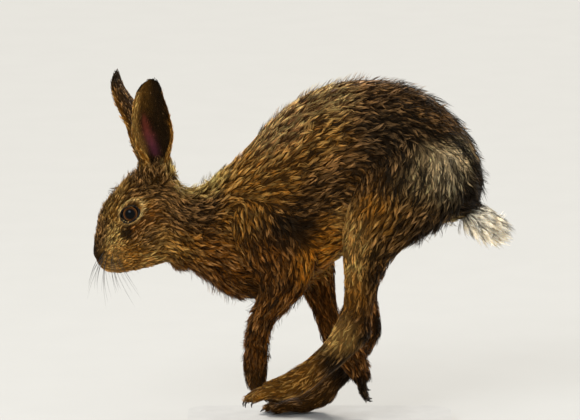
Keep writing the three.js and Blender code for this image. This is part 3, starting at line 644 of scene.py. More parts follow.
for name, sizes in ears.items():
    grid, places, turn, side = ear_grid(sizes)
    keep_guides(grid, name, places, turn, side)
    join_or_cut(skin, closed_piece(name + "_leaf", grid), "UNION")
    print(name, "joined:", len(skin.data.vertices), "points")
for sign in (-1, 1):
    centre = eye_axes(sign)[0]
    room = ball_grid(centre, eye["radius"] + eye_room)
    join_or_cut(skin, closed_piece("eye_room", room), "DIFFERENCE")
skin.data.shade_smooth()
print("eyes cut:", len(skin.data.vertices), "points")

# %% [markdown]
# Nostrils, the line of the mouth and the split of the upper lip are pressed into the skin. Each is a line
# seen from the side or the front, and a point near it moves inwards by the depth times a bell curve of its
# distance. Modelling the slits as cuts would leave sharp walls that real lips don't have.

# %% Nostrils and mouth
# Lines seen from the side as (x, z), depth, half width and the smallest |y| that they reach
nostril_line = [(-227.5, 195.5), (-230.5, 192.5), (-232.0, 188.0), (-234.5, 184.0)]
mouth_line = [(-240, 182.5), (-231, 178.5), (-219, 175.5), (-209, 175), (-203, 176.5)]
grooves = {"nostril": (nostril_line, 3.6, 1.9, 3.0), "mouth": (mouth_line, 1.8, 1.0, 0.0)}
lip_split = {"low": 178.0, "high": 188.0, "front": -228.0, "depth": 1.6, "half_width": 0.9}
grooves_start = -198


def distance_to_line(points, line, samples=60):
    """Smallest distance from each point to a smooth line through a few places."""
    path = blend_rows(line, np.linspace(0, len(line) - 1, samples))
    return np.min(np.linalg.norm(points[:, None] - path, axis=-1), axis=1)


def skin_edges(mesh):
    """The two points of each edge, as an (N, 2) array."""
    pairs = np.zeros(len(mesh.edges) * 2, np.int32)
    mesh.edges.foreach_get("vertices", pairs)
    return pairs.reshape(-1, 2)


def averaged(values, edges, rounds):
    """Each value becomes the mean of itself and its neighbours' mean, as many times as asked."""
    count = len(values)
    both = np.concatenate([edges, edges[:, ::-1]])
    degree = np.maximum(np.bincount(both[:, 0], minlength=count), 1)[:, None]
    for _ in range(rounds):
        columns = range(values.shape[1])
        sums = np.stack([np.bincount(both[:, 0], values[both[:, 1], k], count) for k in columns], 1)
        values = (values + sums / degree) / 2
    return values


def soft_ear_roots(mesh, reach=19.0, rounds=30):
    """The skin's points, averaged with their neighbours near the roots of the ears, where leaf meets head."""
    points = points_of(mesh) / MM
    smooth = averaged(points, skin_edges(mesh), rounds)
    share = np.zeros(len(points))
    for sizes in ears.values():
        distance = np.linalg.norm(points - sizes["root"], axis=1) / reach
        share = np.maximum(share, np.clip(1.6 - 1.2 * distance, 0, 1))
    return points + (smooth - points) * share[:, None]


def press_in(points, normals):
    """Moves the points of the muzzle into its grooves, and says how deep in a groove each point lies."""
    shade = np.zeros(len(points))
    muzzle = np.flatnonzero(points[:, 0] < grooves_start)
    x, y, z = points[muzzle].T
    for line, depth, half_width, inner in grooves.values():
        bell = np.exp(-((distance_to_line(points[muzzle][:, [0, 2]], line) / half_width) ** 2))
        bell *= np.clip((np.abs(y) - inner) / 1.5 + 1, 0, 1)
        points[muzzle] -= normals[muzzle] * (depth * bell)[:, None]
        shade[muzzle] = np.maximum(shade[muzzle], bell)
    inside = (z > lip_split["low"]) & (z < lip_split["high"]) & (x < lip_split["front"])
    bell = np.exp(-((y / lip_split["half_width"]) ** 2)) * inside
    points[muzzle] -= normals[muzzle] * (lip_split["depth"] * bell)[:, None]
    shade[muzzle] = np.maximum(shade[muzzle], bell)
    return points, shade


points, groove_shade = press_in(soft_ear_roots(skin.data), points_of(skin.data, "normal"))
skin.data.vertices.foreach_set("co", (points * MM).astype(np.float32).ravel())
skin.data.update()
print("points in grooves:", int((groove_shade > 0.3).sum()))

# %% [markdown]
# The lie of the coat is a direction at each point of the skin. It is taken from the nearest guide point, so
# it runs from the nose to the tail and down the limbs, then averaged with its neighbours until it flows
# smoothly where bodies meet, and laid flat in the skin.


# %% Lie of the coat
guides = {key: np.concatenate(parts) for key, parts in guides.items()}
tree = KDTree(len(guides["point"]))
for index, point in enumerate(guides["point"]):
    tree.insert(point, index)
tree.balance()

mesh = skin.data
points, normals, edges = points_of(mesh) / MM, points_of(mesh, "normal"), skin_edges(mesh)
nearest = np.array([tree.find(point)[1] for point in points])
body, place, ear_turn, ear_side = (guides[key][nearest] for key in ("body", "place", "turn", "side"))
lie = averaged(guides["lie"][nearest], edges, 30)
lie = unit(lie - normals * np.einsum("ij,ij->i", lie, normals)[:, None])
print("skin points by body:", dict(zip(body_names, np.bincount(body, minlength=len(body_names)).tolist())))

# %% [markdown]
# The coat's pieces carry a map named OFBake, on which each tuft is a small patch at its root's place on an
# unwrap of the skin. Smart UV Project makes that unwrap without seams drawn by hand.

# %% Unwrap of the skin
bpy.context.view_layer.objects.active = skin
skin.select_set(True)
mesh.uv_layers.new(name="OFBake")
bpy.ops.object.mode_set(mode="EDIT")
bpy.ops.mesh.select_all(action="SELECT")
bpy.ops.uv.smart_project(angle_limit=math.radians(60), island_margin=0.001)
bpy.ops.object.mode_set(mode="OBJECT")
skin.select_set(False)
mesh = skin.data
mesh.calc_loop_triangles()
triangle_count = len(mesh.loop_triangles)
corners, loops = np.zeros(triangle_count * 3, np.int32), np.zeros(triangle_count * 3, np.int32)
mesh.loop_triangles.foreach_get("vertices", corners)
mesh.loop_triangles.foreach_get("loops", loops)
corners = corners.reshape(-1, 3)
unwrap = np.zeros(len(mesh.loops) * 2, np.float32)
mesh.uv_layers["OFBake"].uv.foreach_get("vector", unwrap)
corner_map = unwrap.reshape(-1, 2)[loops].reshape(-1, 3, 2)
print("triangles of the skin:", triangle_count)

# %% [markdown]
# The markings are a function of place, so that skin and coat share them. A short list of zones, each a bell
# curve round its middle, says the colour of the hairs, how many are dark and how many have pale tips, how
# long they are and how far they stand out. At any point the zones are blended by their nearness.

# %% Markings
palette = {
    "black": "#0a0704", "umber": "#231506", "brown": "#4e300d", "olive": "#593a12", "rust": "#693c0e",
    "gold": "#88561a", "orange": "#a86618", "straw": "#ab7c3e", "grey": "#9c8058", "pale": "#b98f60",
    "cream": "#e8bd74", "white": "#ece0c8", "ash": "#cbb084", "fawn": "#b07a48",
    "pink": "#703226", "plum": "#5e2a38",
}


def linear_code(code):
    """A colour code in linear light: each share to the power 2.4 after the usual offset."""
    share = np.array([int(code[k:k + 2], 16) for k in (1, 3, 5)]) / 255
    return np.where(share <= 0.04045, share / 12.92, ((share + 0.055) / 1.055) ** 2.4)


def linear(name):
    """A palette colour in linear light."""
    return linear_code(palette[name])


# Zones, alike on both sides: middle x, |y|, z, reach, colour, share of dark hairs, share of pale tips,
# length in millimetres and lift in degrees
zones = [
    (-236, 4, 196, 7, "umber", 0.3, 0.3, 2.0, 14),  # nose
    (-236, 4, 184, 4, "rust", 0.1, 0.3, 1.4, 12),  # lips
    (-234, 9, 189, 5, "umber", 0.8, 0.1, 1.6, 12),  # beside the nostril
    (-230, 7, 216, 11, "olive", 0.45, 0.7, 4.0, 24),  # bridge
    (-222, 8, 238, 12, "gold", 0.5, 0.7, 6.0, 36),  # between the eyes
    (-207, 9, 260, 14, "gold", 0.4, 0.9, 7.0, 46),  # forehead
    (-189, 8, 278, 13, "brown", 0.45, 0.8, 7.5, 46),  # crown
    (-200, 22, 256, 7, "brown", 0.3, 0.5, 4.0, 18),  # above the eye
    (-184, 26, 248, 6, "gold", 0.2, 0.5, 3.5, 14),  # corner of the eye
    (-193, 26, 222, 6, "rust", 0.4, 0.3, 3.0, 12),  # below the eye
    (-215, 20, 234, 6, "gold", 0.2, 0.6, 3.0, 14),  # before the eye
    (-176, 26, 238, 8, "rust", 0.2, 0.3, 4.0, 13),  # behind the eye
    (-217, 20, 212, 8, "straw", 0.2, 0.5, 4.0, 18),  # pale patch before the cheek
    (-203, 23, 216, 6, "umber", 0.7, 0.1, 4.0, 14),  # streak below the eye
    (-182, 29, 212, 12, "olive", 0.3, 0.7, 5.0, 15),  # cheek
    (-196, 24, 194, 10, "gold", 0.35, 0.3, 4.5, 15),  # lower cheek
    (-200, 18, 179, 9, "gold", 0.1, 0.3, 4.0, 20),  # jaw
    (-218, 16, 189, 9, "straw", 0.15, 0.3, 2.5, 18),  # whisker pad
    (-215, 5, 172, 7, "straw", 0.0, 0.3, 3.0, 22),  # chin
    (-180, 15, 181, 12, "straw", 0.0, 0.3, 5.0, 20),  # throat latch
    (-168, 28, 206, 12, "gold", 0.3, 0.7, 6.0, 18),  # rear of the jaw
    (-182, 22, 264, 10, "olive", 0.4, 0.7, 6.0, 22),  # temple
    (-164, 26, 248, 12, "olive", 0.3, 0.6, 6.0, 18),  # behind the cheek
    # The pale straw from the ear base to the nape is partly the hare's own pale nape and partly painted
    # backlight glow
    (-152, 3, 286, 9, "straw", 0.0, 1.0, 9.0, 34),  # rear of the ear base
    (-140, 3, 270, 9, "straw", 0.0, 1.0, 9.0, 40),  # nape
    (-142, 30, 236, 14, "brown", 0.4, 0.6, 9.0, 22),  # side of the neck
    (-145, 26, 205, 14, "gold", 0.4, 0.35, 9.0, 20),  # lower neck
    (-135, 10, 178, 14, "rust", 0.3, 0.4, 8.0, 36),  # throat
    # Pale straw here too is partly the hare's own colour and partly painted backlight glow
    (-120, 6, 266, 10, "straw", 0.0, 0.9, 10.0, 40),  # foot of the nape
    (-120, 33, 240, 13, "brown", 0.5, 0.6, 9.0, 24),  # dark shoulder patch
    (-112, 35, 205, 18, "rust", 0.3, 0.35, 9.5, 18),  # front of the shoulder
    (-92, 42, 232, 18, "gold", 0.4, 0.35, 8.5, 14),  # shoulder
    (-95, 10, 160, 18, "rust", 0.35, 0.3, 9.5, 36),  # breast
    (-85, 22, 288, 16, "gold", 0.15, 0.6, 8.5, 18),  # withers
    (-60, 44, 260, 20, "gold", 0.3, 0.35, 8.5, 14),  # ribs behind the shoulder
    (-50, 20, 328, 20, "fawn", 0.3, 0.6, 9.0, 22),  # upper back
    (-40, 48, 292, 20, "gold", 0.35, 0.45, 9.0, 14),  # upper side
    (-55, 45, 200, 18, "rust", 0.4, 0.3, 9.0, 14),  # lower shoulder
    (-45, 20, 158, 18, "rust", 0.4, 0.25, 9.5, 32),  # breast between the arms
    (-8, 51, 270, 15, "brown", 0.55, 0.4, 9.0, 14),  # dark patch on the ribs
    (18, 51, 262, 13, "brown", 0.6, 0.3, 9.0, 14),  # its rear part
    (-12, 50, 240, 13, "brown", 0.4, 0.35, 9.0, 14),  # below it
    (-42, 48, 233, 15, "umber", 0.7, 0.2, 9.0, 14),  # dark patch behind the elbow
    (-20, 50, 226, 13, "umber", 0.7, 0.2, 9.0, 14),  # its rear part
    (0, 44, 208, 18, "orange", 0.15, 0.3, 8.5, 16),  # side of the belly
    (30, 44, 232, 14, "straw", 0.05, 0.3, 8.0, 14),  # groin
    (10, 30, 365, 16, "fawn", 0.45, 0.6, 9.5, 24),  # top of the back
    (50, 20, 374, 18, "brown", 0.45, 0.55, 10.0, 25),  # over the loin
    (5, 51, 325, 18, "gold", 0.45, 0.5, 9.5, 14),  # side of the back
    (45, 51, 318, 16, "umber", 0.5, 0.45, 9.5, 14),  # side of the loin
    (60, 50, 338, 18, "umber", 0.65, 0.55, 10.0, 16),  # dark patch on the loin
    (85, 48, 318, 18, "umber", 0.6, 0.5, 10.0, 16),  # its rear part
    (30, 51, 295, 18, "brown", 0.4, 0.4, 9.0, 14),  # flank
    (65, 50, 285, 16, "brown", 0.55, 0.35, 9.5, 16),  # before the thigh
    (98, 22, 362, 16, "brown", 0.5, 0.5, 9.0, 22),  # croup
    (128, 28, 335, 16, "brown", 0.5, 0.45, 9.0, 22),  # over the hips
    (100, 48, 276, 14, "grey", 0.15, 0.3, 5.5, 12),  # lower hips
    (112, 45, 300, 14, "grey", 0.15, 0.3, 5.5, 12),  # hips
    (130, 38, 290, 15, "ash", 0.0, 0.3, 5.5, 12),  # pale patch of the rump
    (146, 26, 310, 11, "ash", 0.0, 0.3, 6.0, 14),  # its upper end
    (154, 16, 320, 10, "umber", 0.6, 0.4, 9.5, 26),  # rear of the rump
    (162, 8, 290, 11, "umber", 0.8, 0.2, 9.5, 28),  # seat above the tail
    (140, 28, 262, 13, "black", 0.7, 0.2, 12.0, 20),  # beside the tail
    (95, 58, 262, 17, "olive", 0.25, 0.45, 9.0, 12),  # thigh
    (60, 58, 255, 14, "gold", 0.1, 0.35, 8.0, 12),  # front of the thigh
    (115, 50, 232, 14, "umber", 0.6, 0.3, 12.0, 26),  # rear of the thigh
    (78, 60, 218, 14, "olive", 0.4, 0.4, 9.0, 14),  # knee
    (32, 56, 200, 12, "straw", 0.1, 0.4, 7.0, 12),  # front of the shank
    (62, 56, 185, 12, "brown", 0.45, 0.4, 9.0, 20),  # rear of the shank
    (34, 56, 165, 11, "gold", 0.1, 0.4, 6.5, 12),  # lower shank
    (52, 56, 140, 11, "brown", 0.5, 0.3, 6.5, 16),  # above the hock
    (52, 56, 118, 10, "umber", 0.6, 0.2, 6.5, 18),  # hock
    (20, 56, 112, 12, "straw", 0.2, 0.5, 5.5, 14),  # front of the foot
    (15, 52, 88, 12, "umber", 0.5, 0.4, 6.5, 18),  # underside of the foot
    (-15, 50, 78, 13, "gold", 0.3, 0.5, 6.0, 16),  # instep
    (-40, 48, 60, 13, "gold", 0.35, 0.5, 5.5, 16),  # fore foot
    (-68, 46, 52, 12, "gold", 0.3, 0.5, 4.5, 12),  # toes
    (-62, 26, 165, 14, "brown", 0.35, 0.3, 7.0, 14),  # elbow
    (-60, 27, 130, 14, "rust", 0.35, 0.3, 7.5, 26),  # forearm
    (-66, 22, 95, 14, "rust", 0.35, 0.2, 7.0, 26),  # lower forearm
    (-64, 18, 60, 13, "brown", 0.55, 0.25, 5.5, 18),  # forepaw
    (5, 28, 150, 16, "rust", 0.3, 0.25, 7.0, 18),  # far elbow
    (15, 24, 112, 14, "rust", 0.3, 0.3, 6.5, 20),  # far forearm
    (34, 16, 78, 12, "rust", 0.35, 0.4, 7.0, 22),  # far wrist
    (46, 15, 42, 12, "umber", 0.5, 0.3, 5.0, 16),  # far forepaw
    (50, 46, 130, 10, "rust", 0.35, 0.3, 6.5, 18),  # far hock
    (25, 42, 60, 12, "umber", 0.4, 0.2, 6.0, 18),  # far foot
    (5, 42, 45, 10, "brown", 0.2, 0.5, 5.0, 12),  # far instep
    (-15, 41, 22, 13, "brown", 0.4, 0.3, 5.0, 14),  # far fore foot
    (-45, 40, 20, 13, "brown", 0.3, 0.4, 4.5, 14),  # far toes
    (20, 0, 200, 16, "straw", 0.0, 0.6, 10.0, 20),  # belly
    (60, 0, 210, 18, "white", 0.0, 0.6, 9.0, 18),  # groin between the thighs
    (90, 8, 222, 16, "cream", 0.05, 0.5, 9.0, 18),  # inner thighs
    (-15, 0, 178, 16, "orange", 0.1, 0.5, 11.0, 22),  # fore belly
    (150, 0, 262, 12, "black", 0.7, 0.2, 13.0, 22),  # root of the tail
]
zone_places = np.array([zone[:3] for zone in zones], float)
zone_reach = np.array([zone[3] for zone in zones], float)
zone_colours = np.array([linear(zone[4]) for zone in zones])
zone_values = np.array([zone[5:] for zone in zones], float)


def markings(points):
    """Blends the zones at points in millimetres, by weights that fall off as a bell curve of distance over
    reach. Gives the colour, and share of dark hairs, share of pale tips, length and lift."""
    mirrored = points * (1, 0, 1) + np.abs(points) * (0, 1, 0)
    shares = []
    for part in np.array_split(mirrored, max(1, len(mirrored) // 20000)):
        distance = np.linalg.norm(part[:, None] - zone_places, axis=-1) / zone_reach
        weight = np.exp(-0.9 * (distance - distance.min(axis=1, keepdims=True)) * (distance + 0.6))
        shares.append(weight / weight.sum(axis=1, keepdims=True))
    shares = np.concatenate(shares)
    return shares @ zone_colours, shares @ zone_values


def ripple(points, size, seed):
    """A smooth random value from -1 to 1 at each point: a mean of waves of about one size in random ways."""
    waves = np.random.default_rng(seed)
    ways = unit(waves.normal(size=(7, 3))) * waves.uniform(0.7, 1.4, (7, 1)) * 2 * np.pi / size
    return np.sin(points @ ways.T + waves.uniform(0, 2 * np.pi, 7)).sum(axis=1) / 3.2


def ring_of_eye(points):
    """How strongly the pale ring round the eye shows.

    Distances in the plane of the eye are shares of the rim's half sizes, and the rim slants. The ring is a
    bell curve round a line that hugs the rim and rises over it as a brow, as the square of the height, and
    it is fainter below.
    """
    way = points * (1, 0, 1) + np.abs(points) * (0, 1, 0) - eye["place"]
    facing, forward, up = (np.array(axis) for axis in eye_axes(1)[1:])
    half_wide, half_high, slant = 10.6, 8.6, 0.35
    distance, brow_rise, ring_width = 1.2, 0.4, 0.14
    wide, tall = way @ forward / half_wide, way @ up / half_high
    tall = tall + slant * wide
    beyond = np.hypot(wide, tall)
    height = tall / np.maximum(beyond, 1e-6)
    line = distance + brow_rise * np.clip(height, 0, 1) ** 2
    strength = 0.75 + 0.25 * height - 0.15 * np.clip(wide, -1, 1)
    return np.exp(-(((beyond - line) / ring_width) ** 2)) * strength * (way @ facing > 0)


skin_colour, skin_values = markings(points)
eye_ring = ring_of_eye(points)[:, None]
near_slit = averaged(groove_shade[:, None], edges, 24)[:, 0]
skin_values[:, 2] *= 1 - 0.75 * np.clip(near_slit * 6, 0, 1)
skin_colour += (linear("cream") - skin_colour) * eye_ring
skin_values += (np.array([0.0, 0.3, 2.6, 14.0]) - skin_values) * eye_ring
print("zones:", len(zones), "mean length of hair", round(float(skin_values[:, 2].mean()), 1), "mm")

# %% [markdown]
# The ears have markings of their own. Their backs are dark and grizzled with a black tip, their rims are
# golden, and inside them a bare plum and pink streak runs between dark sides. All of it is a function of the
# place along the ear, the turn across it and the face, inner or outer.


# %% Markings of the ears
def step_up(value, low, high):
    """Goes from 0 to 1 between low and high, as 3t squared minus 2t cubed."""
    t = np.clip((value - low) / (high - low), 0, 1)
    return t * t * (3 - 2 * t)


def ear_markings(place, turn, side):
    """Colours and hair values of the ears. Turn is -1 at one rim and 1 at the other; side is above 0
    outside."""
    def mix(first, second, share):
        return first + (second - first) * share[:, None]

    def shade(name):
        return np.tile(linear(name), (len(place), 1))

    rim = step_up(np.abs(turn), 0.70, 0.97)
    tip = step_up(place, 0.78, 0.93)
    back = mix(shade("gold"), shade("brown"), step_up(place, 0.1, 0.5))
    back = mix(back, shade("orange"), rim * (1 - tip) * 0.7)
    back = mix(back, shade("black"), tip * 0.8)
    middle = 0.15 - 0.7 * (place - 0.13)
    narrow = 0.07 + 0.09 * np.clip(1 - np.abs(place - 0.38) / 0.26, 0, 1)
    streak = np.exp(-(((turn - middle) / narrow) ** 2))
    streak = streak * step_up(place, 0.1, 0.2) * (1 - step_up(place, 0.55, 0.68))
    inside = mix(shade("umber"), shade("olive"), step_up(place, 0.45, 0.8) * step_up(-turn, -0.5, 0.3))
    front = 0.05 + 0.3 * step_up(place, 0.25, 0.6)
    margin = mix(shade("gold"), shade("straw"), 0.7 + 0.3 * rim)
    inside = mix(inside, margin, step_up(-turn, front, front + 0.22) * (1 - 0.7 * tip))
    inside = mix(inside, shade("gold"), rim * (1 - step_up(place, 0.4, 0.6)))
    inside = mix(inside, mix(shade("plum"), shade("pink"), step_up(place, 0.2, 0.5)), streak)
    inside = mix(inside, shade("black"), tip * rim)
    inner = side < 0
    colour = np.where(inner[:, None], inside, back)
    dark = np.where(inner, 0.35 * step_up(turn, -0.4, 0.2), 0.6 - 0.5 * rim * (1 - tip)) + 0.2 * tip
    pale = np.where(inner, 0.1 + 0.5 * step_up(-turn, 0.2, 0.6), 0.75) * (1 - 0.9 * tip)
    length = np.where(inner, 2.5 + 3.0 * rim, 5.0) * (1 - 0.45 * tip)
    lift = np.where(inner, 12.0 + 8 * rim, 12.0)
    return colour, np.column_stack([dark, pale, length, lift]), streak * inner


on_ear = body >= body_names.index("ear_left")
ear_colour, ear_values, ear_streak = ear_markings(place[on_ear], ear_turn[on_ear], ear_side[on_ear])
near_root = step_up(place[on_ear], 0.0, 0.16)[:, None]
skin_colour[on_ear] += (ear_colour - skin_colour[on_ear]) * near_root
skin_values[on_ear] += (ear_values - skin_values[on_ear]) * near_root
bare = np.clip(groove_shade * 2.5, 0, 1)
bare[on_ear] = ear_streak

on_tail = body == body_names.index("tail")
paleness = step_up(0.5 * place[on_tail] - 1.2 * normals[on_tail, 2], -0.6, 1.0)[:, None]
tail_rows = np.array([[0.8, 0.2, 14.0, 16.0], [0.05, 0.4, 24.0, 16.0]])
skin_colour[on_tail] = linear("black") + (linear("white") - linear("black")) * paleness
skin_values[on_tail] = tail_rows[0] + (tail_rows[1] - tail_rows[0]) * paleness
skin_values[on_tail, 3] += 30 * np.clip(-normals[on_tail, 2], 0, 1) * np.clip(1.2 - place[on_tail] / 2, 0, 1)
skin_colour = averaged(skin_colour, edges, 2)
# Painted shade: the skin under long hair is darkened, as the gaps between tufts lie in shade, and it is
# darkened deep in the grooves of nostrils, mouth and lip; bare skin keeps most of its colour
fur_shade = np.clip(0.8 - 0.08 * skin_values[:, 2], 0.12, 0.65)
skin_shade = (fur_shade + (0.95 - fur_shade) * bare) * (1 - 0.9 * groove_shade)
print("skin points on the ears:", int(on_ear.sum()), "bare:", int((bare > 0.5).sum()))

# %% [markdown]
# The whiskers leave dark spots on their pads, which have to be in the markings before any hair takes its
# colour from them. Their roots are the skin's points nearest to a slanted block of places. With them the
# markings are complete, and the skin is painted.

# %% Whisker pads
pad = {"middle": (-221, 16, 190), "row": (0.9, 0, 3.6), "column": (4.4, 1.2, -0.4), "rows": 4, "columns": 4}
muzzle_start = -195
spot_depth, spot_size = 0.9, 1.5
muzzle_points = np.flatnonzero(points[:, 0] < muzzle_start)
skin_tree = KDTree(len(muzzle_points))
for index in muzzle_points:
    skin_tree.insert(points[index], index)
skin_tree.balance()


def whisker_roots(sign):
    """Indices of the skin's points under a block of rows and columns round the pad's middle."""
    row, column = np.meshgrid(np.arange(pad["rows"]) - 1.5, np.arange(pad["columns"]) - 1.5, indexing="ij")
    row, column = row.reshape(-1, 1), column.reshape(-1, 1)
    places = np.array(pad["middle"]) + row * np.array(pad["row"]) + column * np.array(pad["column"])
    places += np.random.default_rng(31).normal(0, 0.4, places.shape)
    roots = np.array([skin_tree.find(point)[1] for point in places * (1, sign, 1)])
    return roots, row[:, 0], column[:, 0]


pads = {sign: whisker_roots(sign) for sign in (-1, 1)}
for roots, row, column in pads.values():
    spot = np.linalg.norm(points[muzzle_points][:, None] - points[roots], axis=-1).min(axis=1)
    skin_colour[muzzle_points] *= (1 - spot_depth * np.exp(-((spot / spot_size) ** 2)))[:, None]
# The skin takes its markings times the painted shade of the gaps and grooves
paint(mesh, skin_colour * skin_shade[:, None])
print("whiskers on each side:", len(pads[1][0]))

# %% [markdown]
# Materials are built from nodes by one small helper: each takes the coat's own colour from the attribute,
# varies it a little with noise and adds a fine bump. Values that are the same all over are set on the
# shader's sockets themselves.


# %% Material helpers
def new_material(name, **sockets):
    """A material with its shader's plain sockets set, and the parts that later steps wire up."""
    material = bpy.data.materials.new(name)
    material.use_nodes = True
    nodes = material.node_tree.nodes
    shader = nodes["Principled BSDF"]
    for socket, value in sockets.items():
        shader.inputs[socket.replace("_", " ")].default_value = value
    return material, nodes, material.node_tree.links, shader


def noise_on(nodes, links, scale, detail=3.0, stretch=(1, 1, 1)):
    """Noise on the object's own coordinates, stretched along its axes by a Mapping node."""
    coordinates = nodes.new("ShaderNodeTexCoord")
    mapping = nodes.new("ShaderNodeMapping")
    mapping.inputs["Scale"].default_value = stretch
    noise = nodes.new("ShaderNodeTexNoise")
    noise.inputs["Scale"].default_value = scale
    noise.inputs["Detail"].default_value = detail
    links.new(coordinates.outputs["Object"], mapping.inputs["Vector"])
    links.new(mapping.outputs["Vector"], noise.inputs["Vector"])
    return noise


def varied(nodes, links, colour, noise, low, high):
    """Multiplies a colour by a range that follows a noise."""
    spread = nodes.new("ShaderNodeMapRange")
    spread.inputs["From Min"].default_value = 0.3
    spread.inputs["From Max"].default_value = 0.7
    spread.inputs["To Min"].default_value = low
    spread.inputs["To Max"].default_value = high
    product = nodes.new("ShaderNodeVectorMath")
    product.operation = "SCALE"
    links.new(noise.outputs["Fac"], spread.inputs["Value"])
    links.new(colour, product.inputs[0])
    links.new(spread.outputs["Result"], product.inputs["Scale"])
    return product.outputs["Vector"]


def add_bump(nodes, links, shader, height, strength, distance):
    """Tips the shader's normal as a relief would whose full height is the distance, in metres."""
    bump = nodes.new("ShaderNodeBump")
    bump.inputs["Strength"].default_value = strength
    bump.inputs["Distance"].default_value = distance
    links.new(height, bump.inputs["Height"])
    links.new(bump.outputs["Normal"], shader.inputs["Normal"])


def coat_material(name, roughness, low=0.8, high=1.2, bump=0.0, **sockets):
    """Hair or skin: the painted colour varied by noise a few millimetres across."""
    material, nodes, links, shader = new_material(name, Roughness=roughness, **sockets)
    painted = nodes.new("ShaderNodeAttribute")
    painted.attribute_name = "coat_colour"
    noise = noise_on(nodes, links, 260.0)
    links.new(varied(nodes, links, painted.outputs["Color"], noise, low, high), shader.inputs["Base Color"])
    if bump:
        fine = noise_on(nodes, links, 1400.0, 4.0)
        add_bump(nodes, links, shader, fine.outputs["Fac"], bump, 0.0006)
    return material


warm = (1.0, 0.72, 0.45, 1)
skin_material = coat_material("short fur over skin", 0.8, 0.7, 1.2, bump=0.6,
                              Specular_IOR_Level=0.1, Specular_Tint=warm)
hair_material = coat_material("wet hair", 0.3, 0.85, 1.15, Specular_IOR_Level=0.2, Specular_Tint=warm)
skin.data.materials.clear()
skin.data.materials.append(skin_material)
print("materials:", [material.name for material in bpy.data.materials][-3:])

# %% [markdown]
# A tuft is a thin closed spike of three sides. Its spine leaves the skin at the lift and bends back to lie
# along it, and swings a little from side to side. Its rings are widest before the middle and run out to a
# point. Thousands of such spikes are worked out at once, because every formula takes whole arrays. Hair
# curves would be lighter to handle, but only real meshes travel to other programs.


# %% Tufts
def tuft_faces(rings):
    """Triangles of one tuft: three sides between its rings, the tip, and the cap at its root."""
    faces = [(2, 1, 0)]
    for ring in range(rings - 1):
        for k in range(3):
            a, b = 3 * ring + k, 3 * ring + (k + 1) % 3
            faces += [(a, b, b + 3), (a, b + 3, a + 3)]
    last = 3 * (rings - 1)
    return np.array(faces + [(last + k, last + (k + 1) % 3, last + 3) for k in range(3)])


def tuft_spines(root, normal, lie, length, lift, sway, phase, rings, flat, sink):
    """Middle lines of the tufts, (count, rings + 1, 3).

    At share t of the length the spine has gone length x t x cosine of the lift along the skin, and has risen
    length x sine of the lift x (t - flat x t squared / 2). It swings sideways by the sway times a sine of t
    and its phase, and its root is sunk a little under the skin.
    """
    t = np.linspace(0, 1, rings + 1)
    side = np.cross(normal, lie)
    along = length[:, None] * t * np.cos(lift)[:, None]
    rise = length[:, None] * np.sin(lift)[:, None] * (t - flat * t**2 / 2) - sink * (1 - t)
    swing = (length * sway)[:, None] * (np.sin(4.2 * t + phase[:, None]) - np.sin(phase)[:, None]) * 0.5
    return (root[:, None] + lie[:, None] * along[..., None] + normal[:, None] * rise[..., None]
            + side[:, None] * swing[..., None])


def gathered(spines, leader, lie, pull, slip=0.6):
    """Draws each spine towards the spine of its clump's leader, by the pull times t to the power 1.4.

    Along the lie it slips: only the rest of the way, 1 - slip, is made good there, so a clump stays a long
    streak that ends in a point.
    """
    t = np.linspace(0, 1, spines.shape[1])
    offset = spines[leader] - spines
    along = np.einsum("nrd,nd->nr", offset, lie)[..., None] * lie[:, None]
    return spines + (offset - slip * along) * (pull[:, None] * t**1.4)[..., None]


def tuft_shapes(spines, normal, lie, width):
    """Points of the tufts, (count, 3 x rings + 1, 3): at each ring a left corner, a ridge and a right corner.

    The half width at share t is half the width times (0.6 + 0.7 t) x (1 - t) to the power 0.6, and the ridge
    stands 0.9 of that above the spine.
    """
    rings = spines.shape[1] - 1
    t = np.linspace(0, 1, rings + 1)
    side = np.cross(normal, lie)
    half = width[:, None] * (0.6 + 0.7 * t) * (1 - t) ** 0.6 / 2
    left = spines + side[:, None] * half[..., None]
    ridge = spines + normal[:, None] * (0.9 * half)[..., None]
    right = spines - side[:, None] * half[..., None]
    corners_of_rings = np.stack([left, ridge, right], axis=2)[:, :rings].reshape(len(spines), 3 * rings, 3)
    return np.concatenate([corners_of_rings, spines[:, -1:]], axis=1)


def tuft_map(root_map, rings, patch=0.003):
    """The map of each tuft: a patch round its root's place, across it and along it."""
    t = np.linspace(0, 1, rings + 1)
    across = np.tile([-0.5, 0.0, 0.5], rings)
    along = np.repeat(t[:-1], 3) - 0.5
    places = np.concatenate([np.column_stack([across, along]), [[0.0, 0.5]]]) * patch
    return root_map[:, None] + places


# How much lighter the tips are: partly the hair's own pale band, partly a painted highlight of wet glints
tip_shade, pale_shade = 1.4, 3.2


